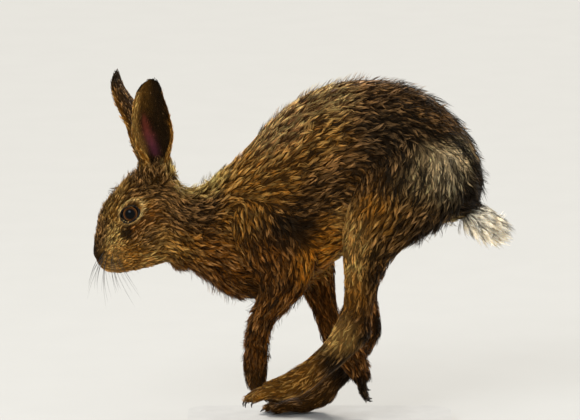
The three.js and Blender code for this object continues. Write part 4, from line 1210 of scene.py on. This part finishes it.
def tuft_colours(base, dark, pale, root_shade_share, leader, rings, random, tone=1.0):
    """Colour along each tuft: dim at the root, its own shade in the middle and paler or darker at the tip.

    A dark tuft goes most of the way to umber. A pale one runs out to its own colour times the pale shade,
    mixed with a pale straw. These pale tips, and the lighter tips of the other tufts, are partly the hair's
    own
    pale band and partly a painted highlight for wet glints. The dim root is painted shade between the tufts:
    it keeps a share of the colour, less where hair is long. Each clump is lighter or darker than the next, and
    so is each tuft in it. The tone dims the whole.
    """
    count = len(base)
    t = np.concatenate([np.repeat(np.linspace(0, 1, rings + 1)[:-1], 3), [1.0]])[None, :, None]
    chance = 0.6 * random.random(count)[leader] + 0.4 * random.random(count)
    is_dark, is_pale = (chance < dark)[:, None], (chance > 1 - pale)[:, None]
    shade = (random.uniform(0.25, 2.1, count)[leader] * random.uniform(0.65, 1.4, count))[:, None]
    middle = np.where(is_dark, base * 0.25 + linear("umber") * 0.3, base) * shade
    light = np.minimum(base * pale_shade * 0.6 + linear("pale") * 0.7, base * 0.5 + 0.5)
    tip = np.where(is_pale & ~is_dark, light * shade, middle * np.where(is_dark, 0.8, tip_shade))
    root = middle * root_shade_share[:, None]
    first, second = np.clip(t / 0.55, 0, 1), np.clip((t - 0.4) / 0.5, 0, 1)
    colour = root[:, None] + (middle - root)[:, None] * first
    return (colour + (tip - middle)[:, None] * second) * tone


print("triangles of a tuft with 2, 3 rings:", len(tuft_faces(2)), len(tuft_faces(3)))

# %% [markdown]
# Roots are scattered over the skin's triangles by area, then thinned so that no small cube of space keeps
# more than one, which spreads them evenly without a grid showing. At each root the direction, colour and
# map are read from the corners of its triangle.


# %% Scatter of roots
skin_normals = points_of(mesh, "normal")
corner_points = points[corners]
triangle_area = np.linalg.norm(np.cross(corner_points[:, 1] - corner_points[:, 0],
                                        corner_points[:, 2] - corner_points[:, 0]), axis=1) / 2


def scatter(chosen, count, random):
    """About count roots on the chosen triangles: their points, normals, lie, colours, values and map."""
    faces = np.flatnonzero(chosen)
    area = triangle_area[faces].sum()
    tries = int(count * 2.2)
    face = random.choice(faces, tries, p=triangle_area[faces] / area)
    u, v = random.random(tries), random.random(tries)
    u, v = np.where(u + v > 1, 1 - u, u), np.where(u + v > 1, 1 - v, v)
    share = np.column_stack([1 - u - v, u, v])
    place_at = np.einsum("nk,nkd->nd", share, points[corners[face]])
    spacing = math.sqrt(area / count) * 0.86
    _, kept = np.unique(np.floor(place_at / spacing).astype(int), axis=0, return_index=True)
    kept = random.permutation(kept)[:count]
    face, share = face[kept], share[kept]

    def at_root(values):
        return np.einsum("nk,nkd->nd", share, values[corners[face]])

    normal = unit(at_root(skin_normals))
    way = at_root(lie)
    way = unit(way - normal * np.einsum("ij,ij->i", way, normal)[:, None])
    root_map = np.einsum("nk,nkd->nd", share, corner_map[face])
    return dict(root=place_at[kept], normal=normal, lie=way, colour=at_root(skin_colour),
                values=at_root(skin_values), map=root_map, bare=at_root(bare[:, None])[:, 0])


def turned(way, normal, angle):
    """Turns directions in the skin's plane by an angle."""
    return way * np.cos(angle)[:, None] + np.cross(normal, way) * np.sin(angle)[:, None]


def leaders(points, lie, per_clump, random, stretch=3.0, candidates=6):
    """For each root, the leader of its clump: of the few nearest ones, the one with the smallest distance
    when lengths along the lie count for a third. Clumps are then long and narrow, as wet fur is."""
    chosen = random.permutation(len(points))[:max(1, int(len(points) / per_clump))]
    clumps = KDTree(len(chosen))
    for index in chosen:
        clumps.insert(points[index], index)
    clumps.balance()
    candidates = min(candidates, len(chosen))
    near = np.array([[hit[1] for hit in clumps.find_n(point, candidates)] for point in points])
    offset = points[near] - points[:, None]
    along = np.einsum("nkd,nd->nk", offset, lie)
    score = (offset**2).sum(axis=-1) - along**2 + (along / stretch) ** 2
    return near[np.arange(len(points)), score.argmin(axis=1)]


def add_coat(name, slot, chosen, count, rings=3, width=1.1, longer=1.0, raised=1.0, per_clump=7, pull=0.7,
             turn=0.22, flat=1.0, sway=0.2, sink=0.5, tone=1.0, own_length=None, root_shade_share=None, seed=1):
    """One piece of the coat: tufts on the chosen triangles, drawn together in wet clumps.

    The markings give each tuft its length and lift, which longer and raised multiply. A piece with an own
    length takes that instead.
    """
    random = np.random.default_rng(seed)
    roots = scatter(chosen, count, random)
    furred = random.random(len(roots["bare"])) > roots["bare"] * 1.3
    roots = {key: values[furred] for key, values in roots.items()}
    root, normal = roots["root"], roots["normal"]
    number = len(root)
    dark, pale, length, lift = roots["values"].T
    leader = leaders(root, roots["lie"], per_clump, random)
    angle = ripple(root, 14.0, seed) * turn + random.normal(0, turn, number)[leader]
    way = turned(roots["lie"], normal, angle)
    # Painted shade at the root of each tuft: the share of colour kept there falls as hair gets longer
    if root_shade_share is None:
        root_shade_share = np.clip(0.85 - 0.11 * length, 0.06, 0.7)
    else:
        root_shade_share = np.full(number, root_shade_share)
    if own_length is not None:
        length = np.full(number, float(own_length))
    long = length * longer * random.uniform(0.75, 1.3, number)[leader] * random.uniform(0.85, 1.15, number)
    rising = np.radians(lift * raised) * random.uniform(0.3, 1.9, number)[leader]
    wide = width * np.clip(length / 8, 0.75, 1.15) * random.uniform(0.7, 1.3, number)
    phase = random.uniform(0, 2 * np.pi, number)[leader] + random.normal(0, 0.3, number)
    spines = tuft_spines(root, normal, way, long, rising, np.full(number, sway), phase, rings, flat, sink)
    spines = gathered(spines, leader, way, random.uniform(0.7, 1.0, number) * pull)
    shapes = tuft_shapes(spines, normal, way, wide)
    colour = tuft_colours(roots["colour"], dark, pale, root_shade_share, leader, rings, random, tone)
    pattern = tuft_faces(rings)
    faces = (pattern[None] + (np.arange(number) * shapes.shape[1])[:, None, None]).reshape(-1, 3)
    piece = add_mesh(name, shapes.reshape(-1, 3) * MM, faces, colour.reshape(-1, 3),
                     tuft_map(roots["map"], rings).reshape(-1, 2))
    piece.data.materials.append(hair_material)
    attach(piece, "root")
    print(name, number, "tufts", len(faces), "triangles, about", round(float(long.mean()), 1), "mm long")
    return piece


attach(skin, "root")
flesh = [name for name in frame["nodes"] if not name.startswith(("eye_", "claw_", "stand_"))]
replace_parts(skin, *flesh)

# %% [markdown]
# The coat is made in pieces by part of the body. On the face and feet the tufts are tiny, on the trunk they
# are longer and clumped by water, and they grow out into spikes along the throat, breast and rump.

# %% Coat pieces
# Ends of the pieces, counted in rows of the sections, and the height that parts the back from the flanks
muzzle_end, head_end, neck_end, chest_end, limb_root_end = 4.6, 9.4, 12.4, 15.6, 3.2
back_height = 290
face_body, face_place = body[corners].max(axis=1), place[corners].mean(axis=1)
face_centre = points[corners].mean(axis=1)
face_lift = skin_values[corners, 3].mean(axis=1)


def on_body(*names):
    """The skin's triangles that belong to the named bodies."""
    return np.isin(face_body, [body_names.index(name) for name in names])


trunk, fore, hind = on_body("trunk"), on_body("fore_left", "fore_right"), on_body("hind_left", "hind_right")
is_ear, upper = on_body("ear_left", "ear_right"), face_place < limb_root_end
head, rear_trunk = trunk & (face_place < head_end), trunk & (face_place >= chest_end)
neck = trunk & (face_place >= head_end) & (face_place < neck_end)
shoulders = (trunk & (face_place >= neck_end) & (face_place < chest_end)) | (fore & upper)
above = face_centre[:, 2] > back_height
body_coat = dict(rings=2, width=0.85, longer=1.2, per_clump=8, pull=0.95)
leg_coat = dict(rings=2, width=1.1, longer=1.15)
add_coat("coat_muzzle", "coat_head", head & (face_place < muzzle_end), 11000, rings=2, width=1.05,
         longer=1.15, per_clump=5, pull=0.8, flat=0.6, sink=0.2, seed=11)
add_coat("coat_face", "coat_head", head & (face_place >= muzzle_end), 17000, rings=2, width=1.15,
         longer=1.2, raised=0.7, per_clump=7, pull=0.95, flat=0.5, sink=0.3, seed=12)
add_coat("coat_neck", "coat_flank", neck, 15000, rings=2, width=0.9, longer=1.15, raised=0.8, per_clump=8,
         pull=0.95, flat=0.7, seed=13)
add_coat("coat_chest", "coat_flank", shoulders, 18500, raised=0.65, seed=14, **body_coat)
add_coat("coat_back", "coat_back", rear_trunk & above, 18500, raised=0.6, seed=15, **body_coat)
add_coat("coat_flanks", "coat_rump", rear_trunk & ~above, 14000, raised=0.8, seed=16, **body_coat)
add_coat("coat_thighs", "coat_rump", hind & upper, 14000, seed=17, **body_coat)
add_coat("coat_forelegs", "coat_leg", fore & ~upper, 9000, seed=18, **leg_coat)
for side_name, seed in (("left", 19), ("right", 20)):
    lower_leg = on_body("hind_" + side_name) & ~upper
    add_coat("coat_hind_leg_" + side_name, "coat_leg", lower_leg, 7500, seed=seed, **leg_coat)

# %% [markdown]
# Where the fur stands out most, at the brow, nape, throat, breast and along the back, long wet points rise
# over the rest and break the outline. The ears have the shortest hair of all.

# %% Wet points and ears
standing_lift = 21
add_coat("coat_wet_points", "coat_flank", ~is_ear & (face_lift > standing_lift), 4500, width=1.0, longer=1.5,
         raised=1.1, per_clump=5, pull=0.99, turn=0.35, flat=0.3, tone=0.5, seed=23)
add_coat("coat_ears", "ear_coat", is_ear, 12000, rings=2, width=1.0, longer=1.1, per_clump=4, pull=0.6,
         sink=0.2, seed=21)

# %% [markdown]
# Water draws black hairs of the hips together into long strokes over the pale rump. They are the same tufts
# with a length of their own, laid flat and dimmed almost to black.

# %% Long dark strokes over hips and rump
strokes_front, strokes_bottom = 70, 262
rear = (trunk | (hind & upper)) & (face_centre[:, 0] > strokes_front) & (face_centre[:, 2] > strokes_bottom)
add_coat("coat_dark_strokes", "coat_rump", rear, 900, rings=3, width=1.1, own_length=22, raised=0.6,
         per_clump=8, pull=0.98, turn=0.2, sway=0.3, flat=0.9, tone=0.03, seed=24)

# %% [markdown]
# The tail is dark above and white below, with longer hair than the rest of the coat. Its tufts are thin,
# turn little and get only a light painted shade at the root.

# %% Tail
add_coat("coat_tail", "tail_fur", on_body("tail"), 4200, width=0.8, raised=1.3, per_clump=6, pull=0.85,
         turn=0.12, flat=0.7, root_shade_share=0.75, seed=22)

# %% [markdown]
# Whiskers are stiff curved bristles. Each leaves the pad at its own spot and bends as it goes: at share t it
# has gone length x t along its way and length x bend x t squared downwards and back.

# %% Whiskers
whisker = {"shortest": 26, "longest": 48, "radius": 0.26, "tip_radius": 0.02, "sunk": 0.8,
           "bend": (0.35, 0, -0.3)}
whisker_rings, whisker_sides = 9, 4


def whiskers(name, sign, random):
    """Tapered square rods, closed at both ends. Those in front point forward and down, those behind out."""
    roots, row, column = pads[sign]
    root, out, count = points[roots], normals[roots], len(roots)
    way = unit(out * (0.2, 0.6, 0.3) + np.stack([column * 0.25 - 0.05, 0 * row, -0.8 + row * 0.12], axis=1))
    length = random.uniform(whisker["shortest"], whisker["longest"], count)[:, None, None]
    bend = np.array(whisker["bend"]) * random.uniform(0.3, 1.0, (count, 1))
    t = np.linspace(0, 1, whisker_rings)[:, None]
    spine = (root - out * whisker["sunk"])[:, None] + length * (way[:, None] * t + bend[:, None] * t**2)
    side = unit(np.cross(way, (0.0, 0.0, 1.0)))
    up = np.cross(side, way)
    angle = 2 * np.pi * np.arange(whisker_sides)[:, None] / whisker_sides
    circle = side[:, None, None] * np.cos(angle) + up[:, None, None] * np.sin(angle)
    radius = whisker["radius"] * (1 - t[:, 0]) ** 0.8 + whisker["tip_radius"]
    radius = np.concatenate([[0.0], radius, [0.0]])
    spine = spine[:, np.clip(np.arange(-1, whisker_rings + 1), 0, whisker_rings - 1)]
    grid = spine[:, :, None] + circle * radius[:, None, None]
    first_points = np.arange(count) * len(radius) * whisker_sides
    faces = grid_faces(len(radius), whisker_sides) + first_points[:, None, None]
    piece = add_mesh(name, grid.reshape(-1, 3) * MM, faces.reshape(-1, 4))
    weld = piece.modifiers.new("close the ends", "WELD")
    weld.merge_threshold = 2e-6
    baked(piece)
    turn_outwards(piece.data)
    piece.data.materials.append(whisker_material)
    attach(piece, "root")
    return piece


whisker_material, nodes, links, shader = new_material("whisker", Roughness=0.35)
whisker_noise = noise_on(nodes, links, 120.0)
bristle = nodes.new("ShaderNodeRGB")
bristle.outputs[0].default_value = (0.02, 0.014, 0.008, 1)
links.new(varied(nodes, links, bristle.outputs[0], whisker_noise, 0.4, 2.0), shader.inputs["Base Color"])
for name, sign in (("whiskers_left", -1), ("whiskers_right", 1)):
    whiskers(name, sign, np.random.default_rng(31 + sign))

# %% [markdown]
# The eye is a ball whose pole looks out of the lids. An attribute keeps the angle from that pole, and the
# material's ramp turns it into a black pupil, a brown iris with a lighter edge, and a dark rim. A clear
# coat over it gives the wet shine.

# %% Eyes
iris_facing = (-0.10, 0.98, 0.15)
eye_material, nodes, links, shader = new_material("eye", Roughness=0.3, Specular_IOR_Level=0.0,
                                                  Coat_Weight=0.18, Coat_Roughness=0.03)
angle_node = nodes.new("ShaderNodeAttribute")
angle_node.attribute_name = "eye_angle"
ramp = nodes.new("ShaderNodeValToRGB")
links.new(angle_node.outputs["Fac"], ramp.inputs["Fac"])
links.new(ramp.outputs["Color"], shader.inputs["Base Color"])
eye_rings = [(0.0, "#010101"), (27.0, "#010101"), (28.0, "#4a2a0c"), (30.5, "#341a06"), (34.0, "#402208"),
             (37.0, "#7c4c1c"), (39.5, "#241004"), (43.0, "#050302")]
while len(ramp.color_ramp.elements) < len(eye_rings):
    ramp.color_ramp.elements.new(0.5)
for element, (angle, code) in zip(ramp.color_ramp.elements, eye_rings):
    element.position = angle / 90
    element.color = (*linear_code(code), 1)


def eyeball(name, sign):
    """A ball whose height angle runs from the back pole to the pupil, with a low swelling over the iris."""
    centre = eye_axes(sign)[0]
    axis = unit(np.array(iris_facing) * (1, sign, 1))
    across = unit(np.cross(axis, (0, 0, 1)))
    up = np.cross(across, axis)
    rows, columns = 64, 96
    cornea_height, cornea_reach = 0.35, 0.55
    off_pole = np.pi - np.linspace(0, np.pi, rows)[:, None]
    turn = 2 * np.pi * np.arange(columns) / columns
    radius = eye["radius"] + cornea_height * np.exp(-((off_pole / cornea_reach) ** 2))
    grid = centre + axis * (radius * np.cos(off_pole) * np.ones(columns))[..., None]
    grid = grid + across * (radius * np.sin(off_pole) * np.cos(turn))[..., None]
    grid = grid + up * (radius * np.sin(off_pole) * np.sin(turn))[..., None]
    piece = closed_piece(name, grid)
    piece.data.shade_smooth()
    way = unit(points_of(piece.data) / MM - centre)
    angle = np.degrees(np.arccos(np.clip(way @ axis, -1, 1))) / 90
    layer = piece.data.attributes.new("eye_angle", "FLOAT", "POINT")
    layer.data.foreach_set("value", np.clip(angle, 0, 1).astype(np.float32))
    piece.data.materials.append(eye_material)
    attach(piece, "root")
    return piece


for name, sign in (("eye_left", -1), ("eye_right", 1)):
    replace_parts(eyeball(name + "_ball", sign), name)

# %% [markdown]
# A thin black rim of bare skin edges each opening. It is a small oval profile of degrees beyond the rim and
# height over the ball, carried round the opening as the lids are.

# %% Eye rims
rim_material, nodes, links, shader = new_material("bare lid", Roughness=0.4, Specular_IOR_Level=0.15,
                                                  Base_Color=(0.006, 0.004, 0.003, 1))
rim_noise = noise_on(nodes, links, 1500.0)
add_bump(nodes, links, shader, rim_noise.outputs["Fac"], 0.3, 0.0004)
rim_sides = 10
rim_middle, rim_half_size = (1.0, 0.75), (6.5, 0.85)
angle = 2 * np.pi * np.arange(rim_sides) / rim_sides
profile = [(rim_middle[0] + rim_half_size[0] * math.cos(a), rim_middle[1] + rim_half_size[1] * math.sin(a))
           for a in angle]
for name, sign in (("left", -1), ("right", 1)):
    grid = lid_grid(sign, profile)
    piece = add_mesh("lid_rim_" + name, grid.reshape(-1, 3) * MM, ring_faces(*grid.shape[:2]))
    turn_outwards(piece.data)
    piece.data.materials.append(rim_material)
    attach(piece, "root")

# %% [markdown]
# The floor is one plain pale sheet, and the light is that of a studio with soft boxes: a broad warm one
# behind and above the hare that rims its back, a cooler fill from the side of the camera, and a pale sky.

# %% Floor and light
floor_size = 30.0
floor_corners = np.array([(x, y, 0.0) for x in (-1, 1) for y in (-1, 1)]) * floor_size
floor = add_mesh("floor", floor_corners, np.array([[0, 2, 3, 1]]))
floor_material, nodes, links, shader = new_material("pale floor", Roughness=0.9)
floor_noise = noise_on(nodes, links, 14.0, 6.0)
floor_tone = nodes.new("ShaderNodeRGB")
floor_tone.outputs[0].default_value = (0.5, 0.485, 0.455, 1)
links.new(varied(nodes, links, floor_tone.outputs[0], floor_noise, 0.99, 1.01), shader.inputs["Base Color"])
floor.data.materials.append(floor_material)

world = bpy.data.worlds.new("studio")
bpy.context.scene.world = world
world.use_nodes = True
sky = world.node_tree.nodes["Background"]
sky.inputs["Color"].default_value = (0.93, 0.97, 1.0, 1)
sky.inputs["Strength"].default_value = 0.85
bpy.context.scene.view_settings.view_transform = "Standard"


def lamp(name, kind, power, colour, place, target=(0.0, 0.0, 0.2)):
    """A light of the given kind that looks from its place at its target."""
    data = bpy.data.lights.new(name, kind)
    data.energy = power
    data.color = colour
    light = bpy.data.objects.new(name, data)
    bpy.context.scene.collection.objects.link(light)
    light.location = place
    x, y, z = np.array(target) - place
    light.rotation_euler = (math.pi / 2 + math.atan2(z, math.hypot(x, y)), 0, math.atan2(-x, y))
    return data


back_light = lamp("back light", "SUN", 2.9, (1.0, 0.95, 0.87), (0.8, 1.6, 2.2))
back_light.angle = math.radians(20)
soft_box = lamp("soft box", "AREA", 36, (0.86, 0.93, 1.0), (-1.1, -2.2, 1.9))
soft_box.shape = "RECTANGLE"
soft_box.size, soft_box.size_y = 1.2, 0.9
print("lights:", [light.name for light in bpy.data.lights])

# %% [markdown]
# Claws and base are solids whose shape is right, so they keep it and only get a finish.

# %% Claws and base
claw_material, nodes, links, shader = new_material("claw horn", Roughness=0.35)
claw_noise = noise_on(nodes, links, 500.0)
horn = nodes.new("ShaderNodeRGB")
horn.outputs[0].default_value = (0.022, 0.016, 0.012, 1)
links.new(varied(nodes, links, horn.outputs[0], claw_noise, 0.6, 1.8), shader.inputs["Base Color"])
base_material, nodes, links, shader = new_material("base", Roughness=0.8)
base_noise = noise_on(nodes, links, 60.0, 6.0)
stone = nodes.new("ShaderNodeRGB")
stone.outputs[0].default_value = (0.47, 0.455, 0.43, 1)
links.new(varied(nodes, links, stone.outputs[0], base_noise, 0.95, 1.04), shader.inputs["Base Color"])
add_bump(nodes, links, shader, base_noise.outputs["Fac"], 0.15, 0.0006)
for name, node in frame["nodes"].items():
    for start, finish in (("claw_", claw_material), ("stand_", base_material)):
        if name.startswith(start):
            node.data.materials.clear()
            node.data.materials.append(finish)
